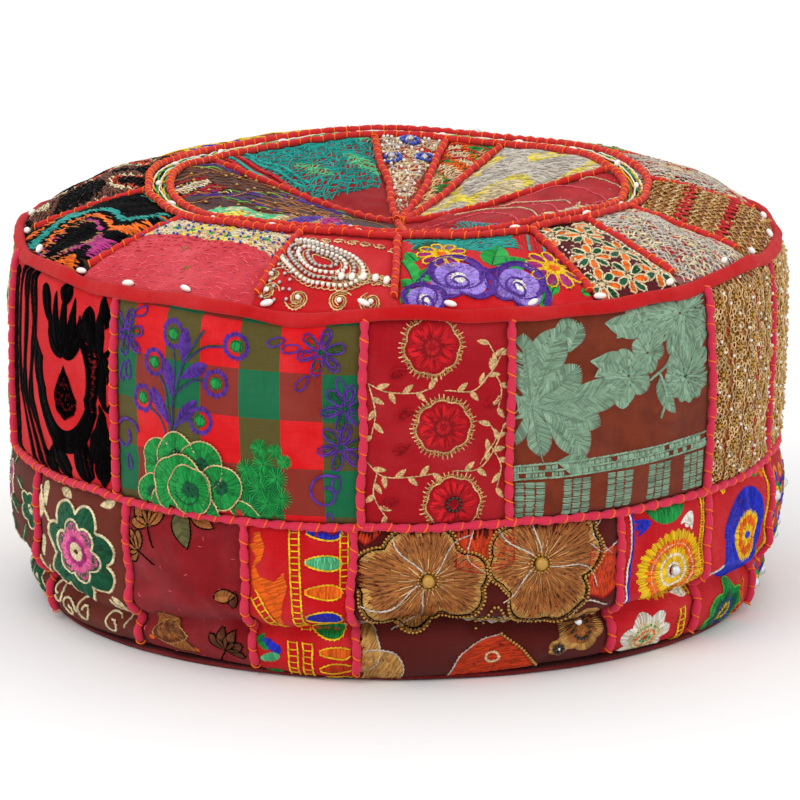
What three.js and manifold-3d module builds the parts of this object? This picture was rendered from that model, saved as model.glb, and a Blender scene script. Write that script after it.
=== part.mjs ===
import * as THREE from 'three';
import Module from 'manifold-3d';

// Round floor pouf: a wadding filling in a muslin liner, inside a patchwork cover.
// Millimetres, +Z up, the flat base at z = 0, the camera side of the cover towards -Y.

const wasm = await Module();
wasm.setup();

// Overall sizes
const coverRadius = 200;       // widest radius of the patched side
const rimHeight = 186;         // top edge of the side patches
const crownRise = 31.5;         // top of the crown above the rim
const centreDip = 14;          // how far the middle of the top sinks below the crown

// Cloth
const patchThickness = 2;      // one embroidered patch
const liningThickness = 1.4;   // backing cloth the patches are sewn to
const muslinThickness = 1.2;   // liner around the wadding
const layerGap = 0.6;          // air between two layers of cloth
const seamGap = 1.2;           // between the edges of neighbouring patches
const touchGap = 0.3;          // between pieces that touch

// Trim
const sideSeamHeight = 86;     // the cord around the side
const sideCordRadius = 2.4;
const ringRadius = 132;        // the outer of the two cords on top
const ringSpacing = 12;        // between the two cords on top
const topCordRadius = 2.0;
const cordGap = 0.5;           // a cord stands this far off the patches
const bindingHeight = 9;       // folded red band at the rim
const bindingReach = 3.6;      // how far the band stands out past the side
const rimBeadCount = 28;
const rimBeadLength = 7.5;
const rimBeadRadius = 1.7;
const ringBeadCount = 18;
const ringBeadLength = 5.5;
const ringBeadRadius = 1.5;
const threadRadius = 0.5;

// Base and zip
const baseRadius = coverRadius * 0.93;
const baseThickness = 1.6;
const zipLength = 270;
const zipDepth = 6;            // how far the zip is drawn up into the base
const zipSlotHalf = 7;         // from the zip's middle to the lip of the base cloth
const lipWidth = 7;            // flat lip of base cloth beside the zip
const slopeWidth = 12;         // from the lip out to the flat of the base
const tapeWidth = 11.2;
const tapeThickness = 0.6;
const coilRadius = 1.0;
const coilOffset = 1.9;        // each coil's centre from the zip's middle
const sliderLength = 12;
const sliderHalfWidth = 5.2;
const sliderPlate = 1.2;
const sliderEndMargin = 9;     // from the zip's end to the slider's middle when closed
const barRadius = 0.7;         // the pull's cross bar
const pullReach = 24;
const pullThickness = 1.2;

// Seam bearings, in degrees around from -Y towards +X
const upperSeams = [-79, -46, -5, 16.5, 51, 74, 113, 152, 194, 237];
const lowerSeams = [-68.5, -44, -22.5, -6.5, 34.5, 52.5, 73, 106, 140, 176, 213, 252];
const crownSeams = [-84, -56, -22, 0, 31, 47, 66, 98, 124, 152, 190, 232];
const centreSeams = [5, 109, 152, 167, 186, 236];

const facet = 6;               // degrees of turn per facet on the outside
const hiddenFacet = 7.5;       // and on the layers nobody sees

const group = new THREE.Group();
group.name = 'patchwork_pouf';

function add(name, geometry, colour, roughness, metalness = 0) {
  const material = new THREE.MeshStandardMaterial({ color: colour, roughness, metalness });
  const mesh = new THREE.Mesh(geometry, material);
  mesh.name = name;
  group.add(mesh);
  return mesh;
}

function toManifold(geometry) {
  const position = geometry.getAttribute('position');
  const keys = new Map();
  const points = [];
  const order = [];
  for (let i = 0; i < position.count; i += 1) {
    const p = [position.getX(i), position.getY(i), position.getZ(i)];
    const key = p.map((v) => Math.round(v * 1e4)).join(',');
    if (!keys.has(key)) {
      keys.set(key, points.length / 3);
      points.push(...p);
    }
    order.push(keys.get(key));
  }
  const index = geometry.index ? Array.from(geometry.index.array, (i) => order[i]) : order;
  const triangles = [];
  for (let i = 0; i < index.length; i += 3) {
    const [a, b, c] = [index[i], index[i + 1], index[i + 2]];
    if (a !== b && b !== c && a !== c) triangles.push(a, b, c);
  }
  return new wasm.Manifold(new wasm.Mesh({
    numProp: 3,
    vertProperties: new Float32Array(points),
    triVerts: new Uint32Array(triangles),
  }));
}

function fromManifold(solid) {
  const mesh = solid.getMesh();
  const geometry = new THREE.BufferGeometry();
  const flat = new Float32Array(mesh.triVerts.length * 3);
  mesh.triVerts.forEach((vertex, i) => {
    flat.set(mesh.vertProperties.slice(vertex * mesh.numProp, vertex * mesh.numProp + 3), i * 3);
  });
  geometry.setAttribute('position', new THREE.BufferAttribute(flat, 3));
  geometry.computeVertexNormals();
  return geometry;
}

function union(geometries) {
  return fromManifold(geometries.map(toManifold).reduce((all, one) => all.add(one)));
}

// Profiles: fractions of the overall sizes, so every layer follows the same shape
const sideShape = [
  [0.013, 0.936], [0.035, 0.96], [0.075, 0.98], [0.15, 0.991],
  [0.28, 0.998], [0.46, 1.002], [0.72, 1.006], [0.9, 1], [1, 0.992],
];
const crownShape = [
  [0.97, 0.31], [0.9, 0.53], [0.8, 0.79], [0.7, 0.95], [0.6, 1], [0.45, 1], [0.3, 1], [0, 1],
];
const dipShape = [
  [0.97, 0], [0.62, 0], [0.45, 0.2], [0.3, 0.45], [0.15, 0.72], [0, 1],
];

function along(table, at) {
  const rising = table[table.length - 1][0] > table[0][0];
  const rows = rising ? table : [...table].reverse();
  if (at <= rows[0][0]) return rows[0][1];
  for (let i = 1; i < rows.length; i += 1) {
    const [a, va] = rows[i - 1];
    const [b, vb] = rows[i];
    if (at <= b) return va + (vb - va) * (at - a) / (b - a);
  }
  return rows[rows.length - 1][1];
}

function sideRadiusAt(z) {
  return coverRadius * along(sideShape, z / rimHeight);
}

function topHeightAt(r) {
  const at = r / coverRadius;
  return rimHeight + crownRise * along(crownShape, at) - centreDip * along(dipShape, at);
}

// Points on the cover, set in from its outer face by a depth
const fineSide = sideShape.map(([t]) => t);
const coarseSide = [0.075, 0.28, 0.72];
function sidePoints(zLow, zHigh, depth, stops = fineSide) {
  const inner = stops.map((t) => t * rimHeight).filter((z) => z > zLow + 2 && z < zHigh - 2);
  const heights = [zLow, ...inner, zHigh];
  return heights.map((z) => {
    const slope = (sideRadiusAt(z + 1) - sideRadiusAt(z - 1)) / 2;
    const length = Math.hypot(1, slope);
    return new THREE.Vector2(sideRadiusAt(z) - depth / length, z + depth * slope / length);
  });
}

const fineTop = [0.9, 0.8, 0.7, 0.6, 0.45, 0.3, 0.15];
const coarseTop = [0.8, 0.6, 0.3];
function topPoints(rOuter, rInner, depth, stops = fineTop) {
  const between = stops.map((t) => t * coverRadius).filter((r) => r < rOuter - 4 && r > rInner + 4);
  const radii = [rOuter, ...between, rInner];
  return radii.map((r) => {
    const reach = Math.max(r, 1);
    const slope = r === 0 ? 0 : (topHeightAt(reach + 1) - topHeightAt(reach - 1)) / 2;
    const length = Math.hypot(1, slope);
    return new THREE.Vector2(Math.max(0, r + depth * slope / length), topHeightAt(r) - depth / length);
  });
}

function place(point, degrees) {
  const turn = THREE.MathUtils.degToRad(degrees);
  return [point.x * Math.sin(turn), -point.x * Math.cos(turn), point.y];
}

// A curved slab of cloth between two bearings; the edges stop short of the seams
function slab(outer, inner, from, to) {
  const steps = Math.max(2, Math.ceil((to - from) / facet));
  const rows = outer.length;
  const points = [];
  for (const side of [outer, inner]) {
    for (let j = 0; j < rows; j += 1) {
      const trim = THREE.MathUtils.radToDeg(seamGap / 2 / Math.max(side[j].x, 4));
      const start = from + trim;
      const sweep = to - from - 2 * trim;
      for (let i = 0; i <= steps; i += 1) {
        points.push(...place(side[j], start + sweep * i / steps));
      }
    }
  }
  const id = (side, j, i) => side * rows * (steps + 1) + j * (steps + 1) + i;
  const faces = [];
  const quad = (a, b, c, d) => faces.push(a, b, c, a, c, d);
  for (let j = 0; j < rows - 1; j += 1) {
    for (let i = 0; i < steps; i += 1) {
      quad(id(0, j, i), id(0, j, i + 1), id(0, j + 1, i + 1), id(0, j + 1, i));
      quad(id(1, j, i), id(1, j + 1, i), id(1, j + 1, i + 1), id(1, j, i + 1));
    }
    quad(id(0, j, 0), id(0, j + 1, 0), id(1, j + 1, 0), id(1, j, 0));
    quad(id(0, j, steps), id(1, j, steps), id(1, j + 1, steps), id(0, j + 1, steps));
  }
  for (let i = 0; i < steps; i += 1) {
    quad(id(0, 0, i), id(1, 0, i), id(1, 0, i + 1), id(0, 0, i + 1));
    quad(id(0, rows - 1, i), id(0, rows - 1, i + 1), id(1, rows - 1, i + 1), id(1, rows - 1, i));
  }
  const geometry = new THREE.BufferGeometry();
  geometry.setAttribute('position', new THREE.Float32BufferAttribute(points, 3));
  geometry.setIndex(faces);
  return fromManifold(toManifold(geometry));
}

function lathe(profile, turn = facet) {
  const points = profile.map((p) => p.clone());
  if (points[0].x > 0 || points[points.length - 1].x > 0) points.push(points[0].clone());
  const geometry = new THREE.LatheGeometry(points, 360 / turn);
  geometry.rotateX(Math.PI / 2);
  const solid = toManifold(geometry);
  if (solid.volume() > 0) return fromManifold(solid);
  const index = Array.from(geometry.index.array);
  for (let i = 0; i < index.length; i += 3) {
    [index[i + 1], index[i + 2]] = [index[i + 2], index[i + 1]];
  }
  geometry.setIndex(index);
  return fromManifold(toManifold(geometry));
}

// A cord lying over the cover at one bearing, through the given profile points
const cordSides = 5;
function cordAlong(profile, degrees, radius) {
  const points = [];
  const faces = [];
  profile.forEach((point, j) => {
    const before = profile[Math.max(j - 1, 0)];
    const after = profile[Math.min(j + 1, profile.length - 1)];
    const heading = after.clone().sub(before).normalize();
    for (let i = 0; i < cordSides; i += 1) {
      const turn = 2 * Math.PI * i / cordSides;
      const lift = radius * Math.cos(turn);
      const section = new THREE.Vector2(point.x + heading.y * lift, point.y - heading.x * lift);
      const across = radius * Math.sin(turn);
      const [x, y, z] = place(section, degrees);
      const bearing = THREE.MathUtils.degToRad(degrees);
      points.push(x + across * Math.cos(bearing), y + across * Math.sin(bearing), z);
    }
  });
  const id = (j, i) => j * cordSides + i % cordSides;
  for (let j = 0; j < profile.length - 1; j += 1) {
    for (let i = 0; i < cordSides; i += 1) {
      faces.push(id(j, i), id(j, i + 1), id(j + 1, i + 1), id(j, i), id(j + 1, i + 1), id(j + 1, i));
    }
  }
  for (let i = 1; i < cordSides - 1; i += 1) {
    const last = profile.length - 1;
    faces.push(id(0, 0), id(0, i + 1), id(0, i), id(last, 0), id(last, i), id(last, i + 1));
  }
  const geometry = new THREE.BufferGeometry();
  geometry.setAttribute('position', new THREE.Float32BufferAttribute(points, 3));
  geometry.setIndex(faces);
  return geometry;
}

function cordRing(ringR, height, radius, sides = 5) {
  const geometry = new THREE.TorusGeometry(ringR, radius, sides, 360 / facet);
  geometry.translate(0, 0, height);
  return geometry;
}

function box(x0, x1, y0, y1, z0, z1) {
  const geometry = new THREE.BoxGeometry(x1 - x0, y1 - y0, z1 - z0);
  geometry.translate((x0 + x1) / 2, (y0 + y1) / 2, (z0 + z1) / 2);
  return geometry;
}

// Patches
const seamLow = sideSeamHeight - seamGap / 2;
const seamHigh = sideSeamHeight + seamGap / 2;
const hemHeight = baseThickness + 2 * touchGap + 0.2;
const crownEdge = coverRadius * 0.97;
const ringInner = ringRadius - ringSpacing;
const ringMiddle = ringRadius - ringSpacing / 2;

const upperColours = [
  0xb3241f, 0xa8342c, 0x8e1f26, 0x7c4426, 0xb08a4a,
  0xa87f45, 0x9c2a2a, 0x3c5a5c, 0xb06a34, 0x6e2f4a,
];
const lowerColours = [
  0x5e3326, 0x9a3028, 0xb5302a, 0x74222a, 0xc23a2c, 0xb83a30,
  0x4a3a5e, 0xa5552c, 0x8c2430, 0x3f5c4a, 0xb0472e, 0x6a4030,
];
const crownColours = [
  0x3c4644, 0xc06a5e, 0xa22a26, 0xb8282a, 0x7c2c38, 0x9c948a,
  0xb0905a, 0x8a7870, 0xb5ad90, 0xa03a30, 0x44605c, 0x4c3028,
];
const centreColours = [0xa01c28, 0xc0b494, 0xa8482e, 0xc8b898, 0x2f8a80, 0x5e3a2c];

function ringOfPatches(prefix, seams, colours, makeOuter) {
  seams.forEach((from, i) => {
    const to = i + 1 < seams.length ? seams[i + 1] : seams[0] + 360;
    const label = `${prefix}_${String(i + 1).padStart(2, '0')}`;
    add(label, slab(makeOuter(0), makeOuter(patchThickness), from, to), colours[i], 0.9);
  });
}

ringOfPatches('upper_patch', upperSeams, upperColours,
  (depth) => sidePoints(seamHigh, rimHeight, depth));
ringOfPatches('lower_patch', lowerSeams, lowerColours,
  (depth) => sidePoints(hemHeight, seamLow, depth));
ringOfPatches('crown_patch', crownSeams, crownColours,
  (depth) => topPoints(crownEdge, ringMiddle + seamGap / 2, depth));
ringOfPatches('centre_patch', centreSeams, centreColours,
  (depth) => topPoints(ringMiddle - seamGap / 2, 5, depth));

// Backing cloth: an open-bottomed cup just inside the patches
const liningOuter = patchThickness + layerGap;
const liningInner = liningOuter + liningThickness;
const liningEdge = crownEdge - 3;
const liningTop = rimHeight - 3;
function shell(depth, zLow) {
  return [
    ...sidePoints(zLow, liningTop, depth, coarseSide),
    ...topPoints(liningEdge, 0, depth, coarseTop),
  ];
}
add('cover_lining', lathe([
  ...shell(liningOuter, 8).reverse(),
  ...shell(liningInner, 8),
], hiddenFacet), 0xd8cdb4, 0.95);

// Muslin liner in three panels, and the wadding in it
const linerOuter = liningInner + layerGap;
const linerInner = linerOuter + muslinThickness;
const linerLow = zipDepth + 10;
const linerHigh = rimHeight - 12;
const linerEdge = coverRadius * 0.92;
add('liner_side', lathe([
  ...sidePoints(linerLow, linerHigh, linerOuter, coarseSide),
  ...sidePoints(linerLow, linerHigh, linerInner, coarseSide).reverse(),
], hiddenFacet), 0xe6dfcc, 0.95);
add('liner_top', lathe([
  ...topPoints(linerEdge, 0, linerOuter, coarseTop).reverse(),
  ...topPoints(linerEdge, 0, linerInner, coarseTop),
], hiddenFacet), 0xe6dfcc, 0.95);

// The base cloth is drawn up into a long shallow pocket, with the zip along its roof
const pocketHalfX = zipLength / 2 + 11;
const pocketHalfY = zipSlotHalf + lipWidth;
function pocket(clear, floorZ, rise) {
  const below = 1;
  const spread = slopeWidth * (1 + below / rise);
  const lowX = pocketHalfX + clear + spread;
  const lowY = pocketHalfY + clear + spread;
  const highX = pocketHalfX + clear;
  const highY = pocketHalfY + clear;
  const points = [];
  for (const [x, y, z] of [[lowX, lowY, floorZ - below], [highX, highY, floorZ + rise]]) {
    points.push(-x, -y, z, x, -y, z, x, y, z, -x, y, z);
  }
  const faces = [0, 2, 1, 0, 3, 2, 4, 5, 6, 4, 6, 7];
  for (let i = 0; i < 4; i += 1) {
    const j = (i + 1) % 4;
    faces.push(i, j, j + 4, i, j + 4, i + 4);
  }
  const geometry = new THREE.BufferGeometry();
  geometry.setAttribute('position', new THREE.Float32BufferAttribute(points, 3));
  geometry.setIndex(faces);
  return toManifold(geometry);
}

function disc(radius, z0, z1) {
  const geometry = new THREE.CylinderGeometry(radius, radius, z1 - z0, 360 / facet);
  geometry.rotateX(Math.PI / 2);
  geometry.translate(0, 0, (z0 + z1) / 2);
  return toManifold(geometry);
}

function baseCloth(radius, z, thickness, clear, rise) {
  const roof = pocket(clear + thickness, z + thickness, rise)
    .intersect(disc(coverRadius, z, z + rise + 2 * thickness));
  return disc(radius, z, z + thickness).add(roof).subtract(pocket(clear, z, rise));
}

const slotHalfX = zipLength / 2 + 6;
const base = baseCloth(baseRadius, 0, baseThickness, 0, zipDepth)
  .subtract(toManifold(box(-slotHalfX, slotHalfX, -zipSlotHalf, zipSlotHalf, 0, zipDepth + 5)));
for (const [label, side] of [['left', -1], ['right', 1]]) {
  const edges = [side * seamGap / 2, side * coverRadius].sort((a, b) => a - b);
  const half = toManifold(box(-coverRadius, coverRadius, edges[0], edges[1], -2, zipDepth + 10));
  add(`base_panel_${label}`, fromManifold(base.intersect(half)), 0x6b2a26, 0.95);
}

const linerBaseZ = baseThickness + layerGap;
const linerRise = zipDepth + 6;
const linerClear = 5;
add('liner_base', fromManifold(
  baseCloth(baseRadius - 8, linerBaseZ, muslinThickness, linerClear, linerRise)), 0xe6dfcc, 0.95);

const fillDepth = linerInner + layerGap;
const fillLow = linerBaseZ + muslinThickness + layerGap;
const fillSide = sidePoints(fillLow + 4, linerHigh - 4, fillDepth, coarseSide);
const wadding = toManifold(lathe([
  new THREE.Vector2(0, fillLow),
  new THREE.Vector2(fillSide[0].x - 6, fillLow),
  ...fillSide,
  ...topPoints(linerEdge - 10, 0, fillDepth, coarseTop),
], hiddenFacet));
add('filling', fromManifold(
  wadding.subtract(pocket(linerClear + muslinThickness + layerGap, fillLow, linerRise))), 0xf0ece0, 1);

// Rim: folded binding between the side and the top
const bindingLow = rimHeight + touchGap;
const bindingHigh = bindingLow + bindingHeight;
const bindingOut = coverRadius + bindingReach;
const bindingIn = crownEdge + 1;
add('rim_binding', lathe([
  new THREE.Vector2(bindingIn, bindingLow),
  new THREE.Vector2(bindingOut - 1.5, bindingLow),
  new THREE.Vector2(bindingOut, bindingLow + bindingHeight * 0.35),
  new THREE.Vector2(bindingOut - 0.6, bindingHigh - 1.4),
  new THREE.Vector2(bindingOut - 3.2, bindingHigh),
  new THREE.Vector2(bindingIn, bindingHigh - 0.8),
]), 0xa32a26, 0.85);

// Beads on their thread
function beadedRing(ringR, height, count, length, radius) {
  const pieces = [cordRing(ringR, height, threadRadius, 3)];
  for (let i = 0; i < count; i += 1) {
    const bead = new THREE.SphereGeometry(1, 6, 3);
    bead.scale(radius, length / 2, radius);
    bead.rotateZ(Math.PI / 2);
    bead.translate(0, -ringR, height);
    bead.rotateZ(2 * Math.PI * (i + 0.37) / count);
    pieces.push(bead);
  }
  return union(pieces);
}
add('rim_beads', beadedRing(bindingOut - 6, bindingHigh + rimBeadRadius + touchGap,
  rimBeadCount, rimBeadLength, rimBeadRadius), 0xe9e4d6, 0.35);

// Cords over the seams
function sideCord(degrees, zLow, zHigh) {
  const lift = sideCordRadius + cordGap;
  return cordAlong(sidePoints(zLow, zHigh, -lift), degrees, sideCordRadius);
}
const ringLift = sideCordRadius + cordGap;
const cordTop = rimHeight - sideCordRadius;
add('side_seam_cords', union([
  cordRing(sideRadiusAt(sideSeamHeight) + ringLift, sideSeamHeight, sideCordRadius),
  ...upperSeams.map((a) => sideCord(a, sideSeamHeight, cordTop)),
  ...lowerSeams.map((a) => sideCord(a, sideCordRadius + 5, sideSeamHeight)),
]), 0xb84a48, 0.85);

const crownLift = topCordRadius + cordGap;
function topCord(degrees, rOuter, rInner) {
  return cordAlong(topPoints(rOuter, rInner, -crownLift), degrees, topCordRadius);
}
add('ring_cord_outer', union([
  cordRing(ringRadius, topHeightAt(ringRadius) + crownLift, topCordRadius),
  ...crownSeams.map((a) => topCord(a, crownEdge - 2, ringRadius)),
]), 0xa82c28, 0.85);
const hubRadius = 5;
add('ring_cord_inner', union([
  cordRing(ringInner, topHeightAt(ringInner) + crownLift, topCordRadius),
  ...centreSeams.map((a) => topCord(a, ringInner, hubRadius - 3)),
]), 0xa82c28, 0.85);
add('ring_beads', beadedRing(ringMiddle, topHeightAt(ringMiddle) + ringBeadRadius + cordGap,
  ringBeadCount, ringBeadLength, ringBeadRadius), 0xe9e4d6, 0.35);

// Zip across the base
const zipHalf = zipLength / 2;
const coilZ = zipDepth + baseThickness + touchGap + tapeThickness / 2;
const tapeInner = coilOffset + coilRadius + touchGap;
for (const [label, side] of [['left', -1], ['right', 1]]) {
  const edges = [side * tapeInner, side * (tapeInner + tapeWidth)].sort((a, b) => a - b);
  add(`zip_tape_${label}`, box(-zipHalf - 5, zipHalf + 5, edges[0], edges[1],
    coilZ - tapeThickness / 2, coilZ + tapeThickness / 2), 0x5c2422, 0.9);
  const coil = new THREE.CylinderGeometry(coilRadius, coilRadius, zipLength, 8);
  coil.rotateZ(Math.PI / 2);
  coil.translate(0, side * coilOffset, coilZ);
  add(`zip_coil_${label}`, fromManifold(toManifold(coil)), 0x6a2e2a, 0.6);
}

const sliderX = zipHalf - sliderEndMargin;
const plateGap = coilRadius + touchGap;
const plateLow = coilZ - plateGap - sliderPlate;
const plateHigh = coilZ + plateGap;
const postHalf = (coilOffset - coilRadius) / 2;
const sliderHalf = sliderLength / 2;
const barZ = plateLow - barRadius - touchGap - 0.1;
const bailInner = barZ - barRadius - touchGap - 0.1;
const bailBar = 0.8;
const bailHalf = 3.6;
add('zip_slider', union([
  box(sliderX - sliderHalf, sliderX + sliderHalf, -sliderHalfWidth, sliderHalfWidth,
    plateLow, plateLow + sliderPlate),
  box(sliderX - sliderHalf, sliderX + sliderHalf, -sliderHalfWidth, sliderHalfWidth,
    plateHigh, plateHigh + sliderPlate),
  box(sliderX - 2, sliderX + 2, -postHalf, postHalf, plateLow + 0.5, plateHigh + 0.5),
  box(sliderX - bailHalf, sliderX - bailHalf + 1, -0.8, 0.8, bailInner - bailBar, plateLow + 0.5),
  box(sliderX + bailHalf - 1, sliderX + bailHalf, -0.8, 0.8, bailInner - bailBar, plateLow + 0.5),
  box(sliderX - bailHalf, sliderX + bailHalf, -0.8, 0.8, bailInner - bailBar, bailInner),
]), 0xb9a36a, 0.35, 0.9);

const armInner = 0.8 + 2 * touchGap;
const armOuter = armInner + 1.2;
const armTop = barZ + pullThickness / 2;
const armLow = barZ - pullThickness / 2;
const tabStart = 5.2;
const crossBar = new THREE.CylinderGeometry(barRadius, barRadius, 2 * armOuter, 10);
crossBar.translate(sliderX, 0, barZ);
add('zip_pull', union([
  crossBar,
  box(sliderX - tabStart - 1, sliderX, armInner, armOuter, armLow, armTop),
  box(sliderX - tabStart - 1, sliderX, -armOuter, -armInner, armLow, armTop),
  box(sliderX - pullReach, sliderX - tabStart, -armOuter - 0.6, armOuter + 0.6, armLow, armTop),
]), 0xb9a36a, 0.35, 0.9);
add('zip_end_stop', box(-zipHalf - 3.4, -zipHalf - touchGap, -tapeInner + touchGap,
  tapeInner - touchGap, coilZ - 1.2, coilZ + 1.2), 0xb9a36a, 0.4, 0.9);

export default group;
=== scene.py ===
import bpy
import math
import numpy as np
from functools import partial
from math import degrees, pi, radians
from numpy import arange, array, asarray, broadcast_to, clip, concatenate, cos, exp, full, linspace, maximum, meshgrid, sin
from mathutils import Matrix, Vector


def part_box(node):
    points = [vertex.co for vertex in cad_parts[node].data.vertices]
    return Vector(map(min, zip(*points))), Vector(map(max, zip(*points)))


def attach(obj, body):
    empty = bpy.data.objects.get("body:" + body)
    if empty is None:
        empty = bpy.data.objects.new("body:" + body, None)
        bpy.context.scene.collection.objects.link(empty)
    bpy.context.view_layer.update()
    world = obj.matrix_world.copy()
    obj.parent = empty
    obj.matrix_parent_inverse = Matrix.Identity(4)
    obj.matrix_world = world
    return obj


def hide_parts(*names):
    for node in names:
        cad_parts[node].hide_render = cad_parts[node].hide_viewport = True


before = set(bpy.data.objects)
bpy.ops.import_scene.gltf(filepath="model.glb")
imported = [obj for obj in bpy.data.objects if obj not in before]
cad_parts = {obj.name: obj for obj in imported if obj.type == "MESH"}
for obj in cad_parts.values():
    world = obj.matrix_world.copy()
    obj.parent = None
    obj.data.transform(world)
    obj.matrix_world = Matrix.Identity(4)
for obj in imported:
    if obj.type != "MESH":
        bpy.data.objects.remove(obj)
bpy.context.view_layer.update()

mm = 0.001


def boxOf(node):
    low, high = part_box(node)
    return array(low) / mm, array(high) / mm


# The cover's outline from its hem on the floor, up the side, over the rim and down into the middle
cover = {
    "outline": [  # radius and height as shares of the side's radius and of the rim's height
        (0.86, 0.013), (0.90, 0.011), (0.93, 0.020), (0.952, 0.055), (0.962, 0.105), (0.982, 0.2),
        (0.998, 0.33), (0.994, 0.462), (0.998, 0.62), (1.0, 0.8), (0.996, 0.93), (0.99, 1.0),
    ],
    "top": [  # radius as a share of the side's, height above the rim in mm
        (0.968, 6.4), (0.92, 10.8), (0.85, 16), (0.77, 21.2), (0.70, 25), (0.66, 26.8), (0.62, 26.4),
        (0.55, 24.4), (0.45, 20.4), (0.35, 16.2), (0.25, 12), (0.15, 8.6), (0.07, 6.4), (0.0, 6),
    ],
    "lump": 1.5,          # slow unevenness of the stuffing
    "puff": 2.6,          # how far cloth swells between two seams
    "puffReach": 13.0,    # how quickly it swells away from a seam
    "crease": 0.5,        # small creases in the worn cloth
    "pucker": 0.42,       # gathers along the seams
    "foldHeight": 25.0,   # the slumped fold near the floor
    "foldDepth": 11.0,
    "turnSteps": 360,
    "riseStep": 2.0,
}

# Upright seams of each row of patches, in degrees from the front
upperSeams = [-79, -46, -5, 16.5, 51, 74, 113, 152, 194, 237]
lowerSeams = [-68.5, -44, -22.5, -6.5, 34.5, 52.5, 73, 106, 140, 176, 213, 252]
crownSeams = [-84, -56, -22, 0, 31, 47, 66, 98, 124, 152, 190, 232]
centreSeams = [5, 109, 152, 167, 186, 236]

rimHeight = boxOf("rim_binding")[0][2] + 4
coverRadius = boxOf("cover_lining")[1][0] + 2.6
ringLow, ringHigh = boxOf("ring_beads")
ringMiddle = (ringHigh[0] - ringLow[0]) / 2 - 1.5   # between the two cords on top
ringHalf = 6.0
seamHeight = boxOf("lower_patch_01")[1][2] - 1.0


def joined(*parts):
    # coordinates side by side
    return np.stack(np.broadcast_arrays(*parts), -1)


def unit(v, least=1e-9):
    return v / maximum(np.linalg.norm(v, axis=-1, keepdims=True), least)


def towards(a):
    # the way at an angle in degrees
    return array([math.cos(radians(a)), math.sin(radians(a))])


def around(phi, squash=1.0):
    return joined(cos(phi) * squash, sin(phi))


def smoothLine(points, step):
    pts = array(points, float)
    ext = np.vstack([2 * pts[0] - pts[1], pts, 2 * pts[-1] - pts[-2]])
    out = []
    for i in range(1, len(ext) - 2):
        p0, p1, p2, p3 = ext[i - 1:i + 3]
        n = max(2, int(np.linalg.norm(p2 - p1) / step) + 1)
        t = linspace(0, 1, n, endpoint=False)[:, None]
        out.append(0.5 * (2 * p1 + (p2 - p0) * t + (2 * p0 - 5 * p1 + 4 * p2 - p3) * t ** 2
                          + (3 * p1 - p0 - 3 * p2 + p3) * t ** 3))
    return np.vstack(out + [pts[-1:]])


outlineKnots = [(coverRadius * r, rimHeight * z) for r, z in cover["outline"]]
outlineKnots += [(coverRadius * r, rimHeight + z) for r, z in cover["top"]]
outline = smoothLine(outlineKnots, 0.5)
outlineS = concatenate([[0], np.cumsum(np.linalg.norm(np.diff(outline, axis=0), axis=1))])
rimKnot = array(outlineKnots[len(cover["outline"]) - 1])
rimS = outlineS[np.argmin(np.linalg.norm(outline - rimKnot, axis=1))]
sideMask = outlineS <= rimS
topMask = outlineS > rimS


def sOfHeight(z):
    return np.interp(z, outline[sideMask, 1], outlineS[sideMask])


def sOfRadius(r):
    return np.interp(r, outline[topMask, 0][::-1], outlineS[topMask][::-1])


def radiusAt(s):
    return np.interp(s, outlineS, outline[:, 0])


seamS = float(sOfHeight(seamHeight))
crownS = float(sOfRadius(coverRadius * 0.965))
ringS = float(sOfRadius(ringMiddle))
endS = float(outlineS[-1])


def waves(seed, theta, s, count, turnsMost, rise):
    g = np.random.default_rng(seed)
    total = np.zeros(np.broadcast(theta, s).shape)
    for _ in range(count):
        turns = g.integers(1, turnsMost + 1)
        total += g.normal() * sin(turns * theta + g.uniform(0, 6.3) + s / rise * g.uniform(-2, 2))
    return total / math.sqrt(count)


def wrapped(a):
    return (a + 180) % 360 - 180


def seamDistance(thetaDeg, s):
    d = full(np.broadcast(thetaDeg, s).shape, 1e3)
    bands = [(-99, seamS, lowerSeams), (seamS, rimS + 4, upperSeams),
             (rimS + 4, ringS, crownSeams), (ringS, 1e3, centreSeams)]
    for low, high, seams in bands:
        inside = (s >= low) & (s < high)
        for a in seams:
            away = np.abs(wrapped(thetaDeg - a)) * pi / 180 * radiusAt(s)
            d = np.where(inside, np.minimum(d, away), d)
    for level in (seamS, rimS, crownS, ringS - ringHalf, ringS + ringHalf):
        d = np.minimum(d, np.abs(s - level))
    return d


def foldLine(theta):
    return (cover["foldHeight"] + 4 * sin(2 * theta + 0.6) + 3 * sin(5 * theta + 2.1)
            + 2 * sin(9 * theta + 0.4))


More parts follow.
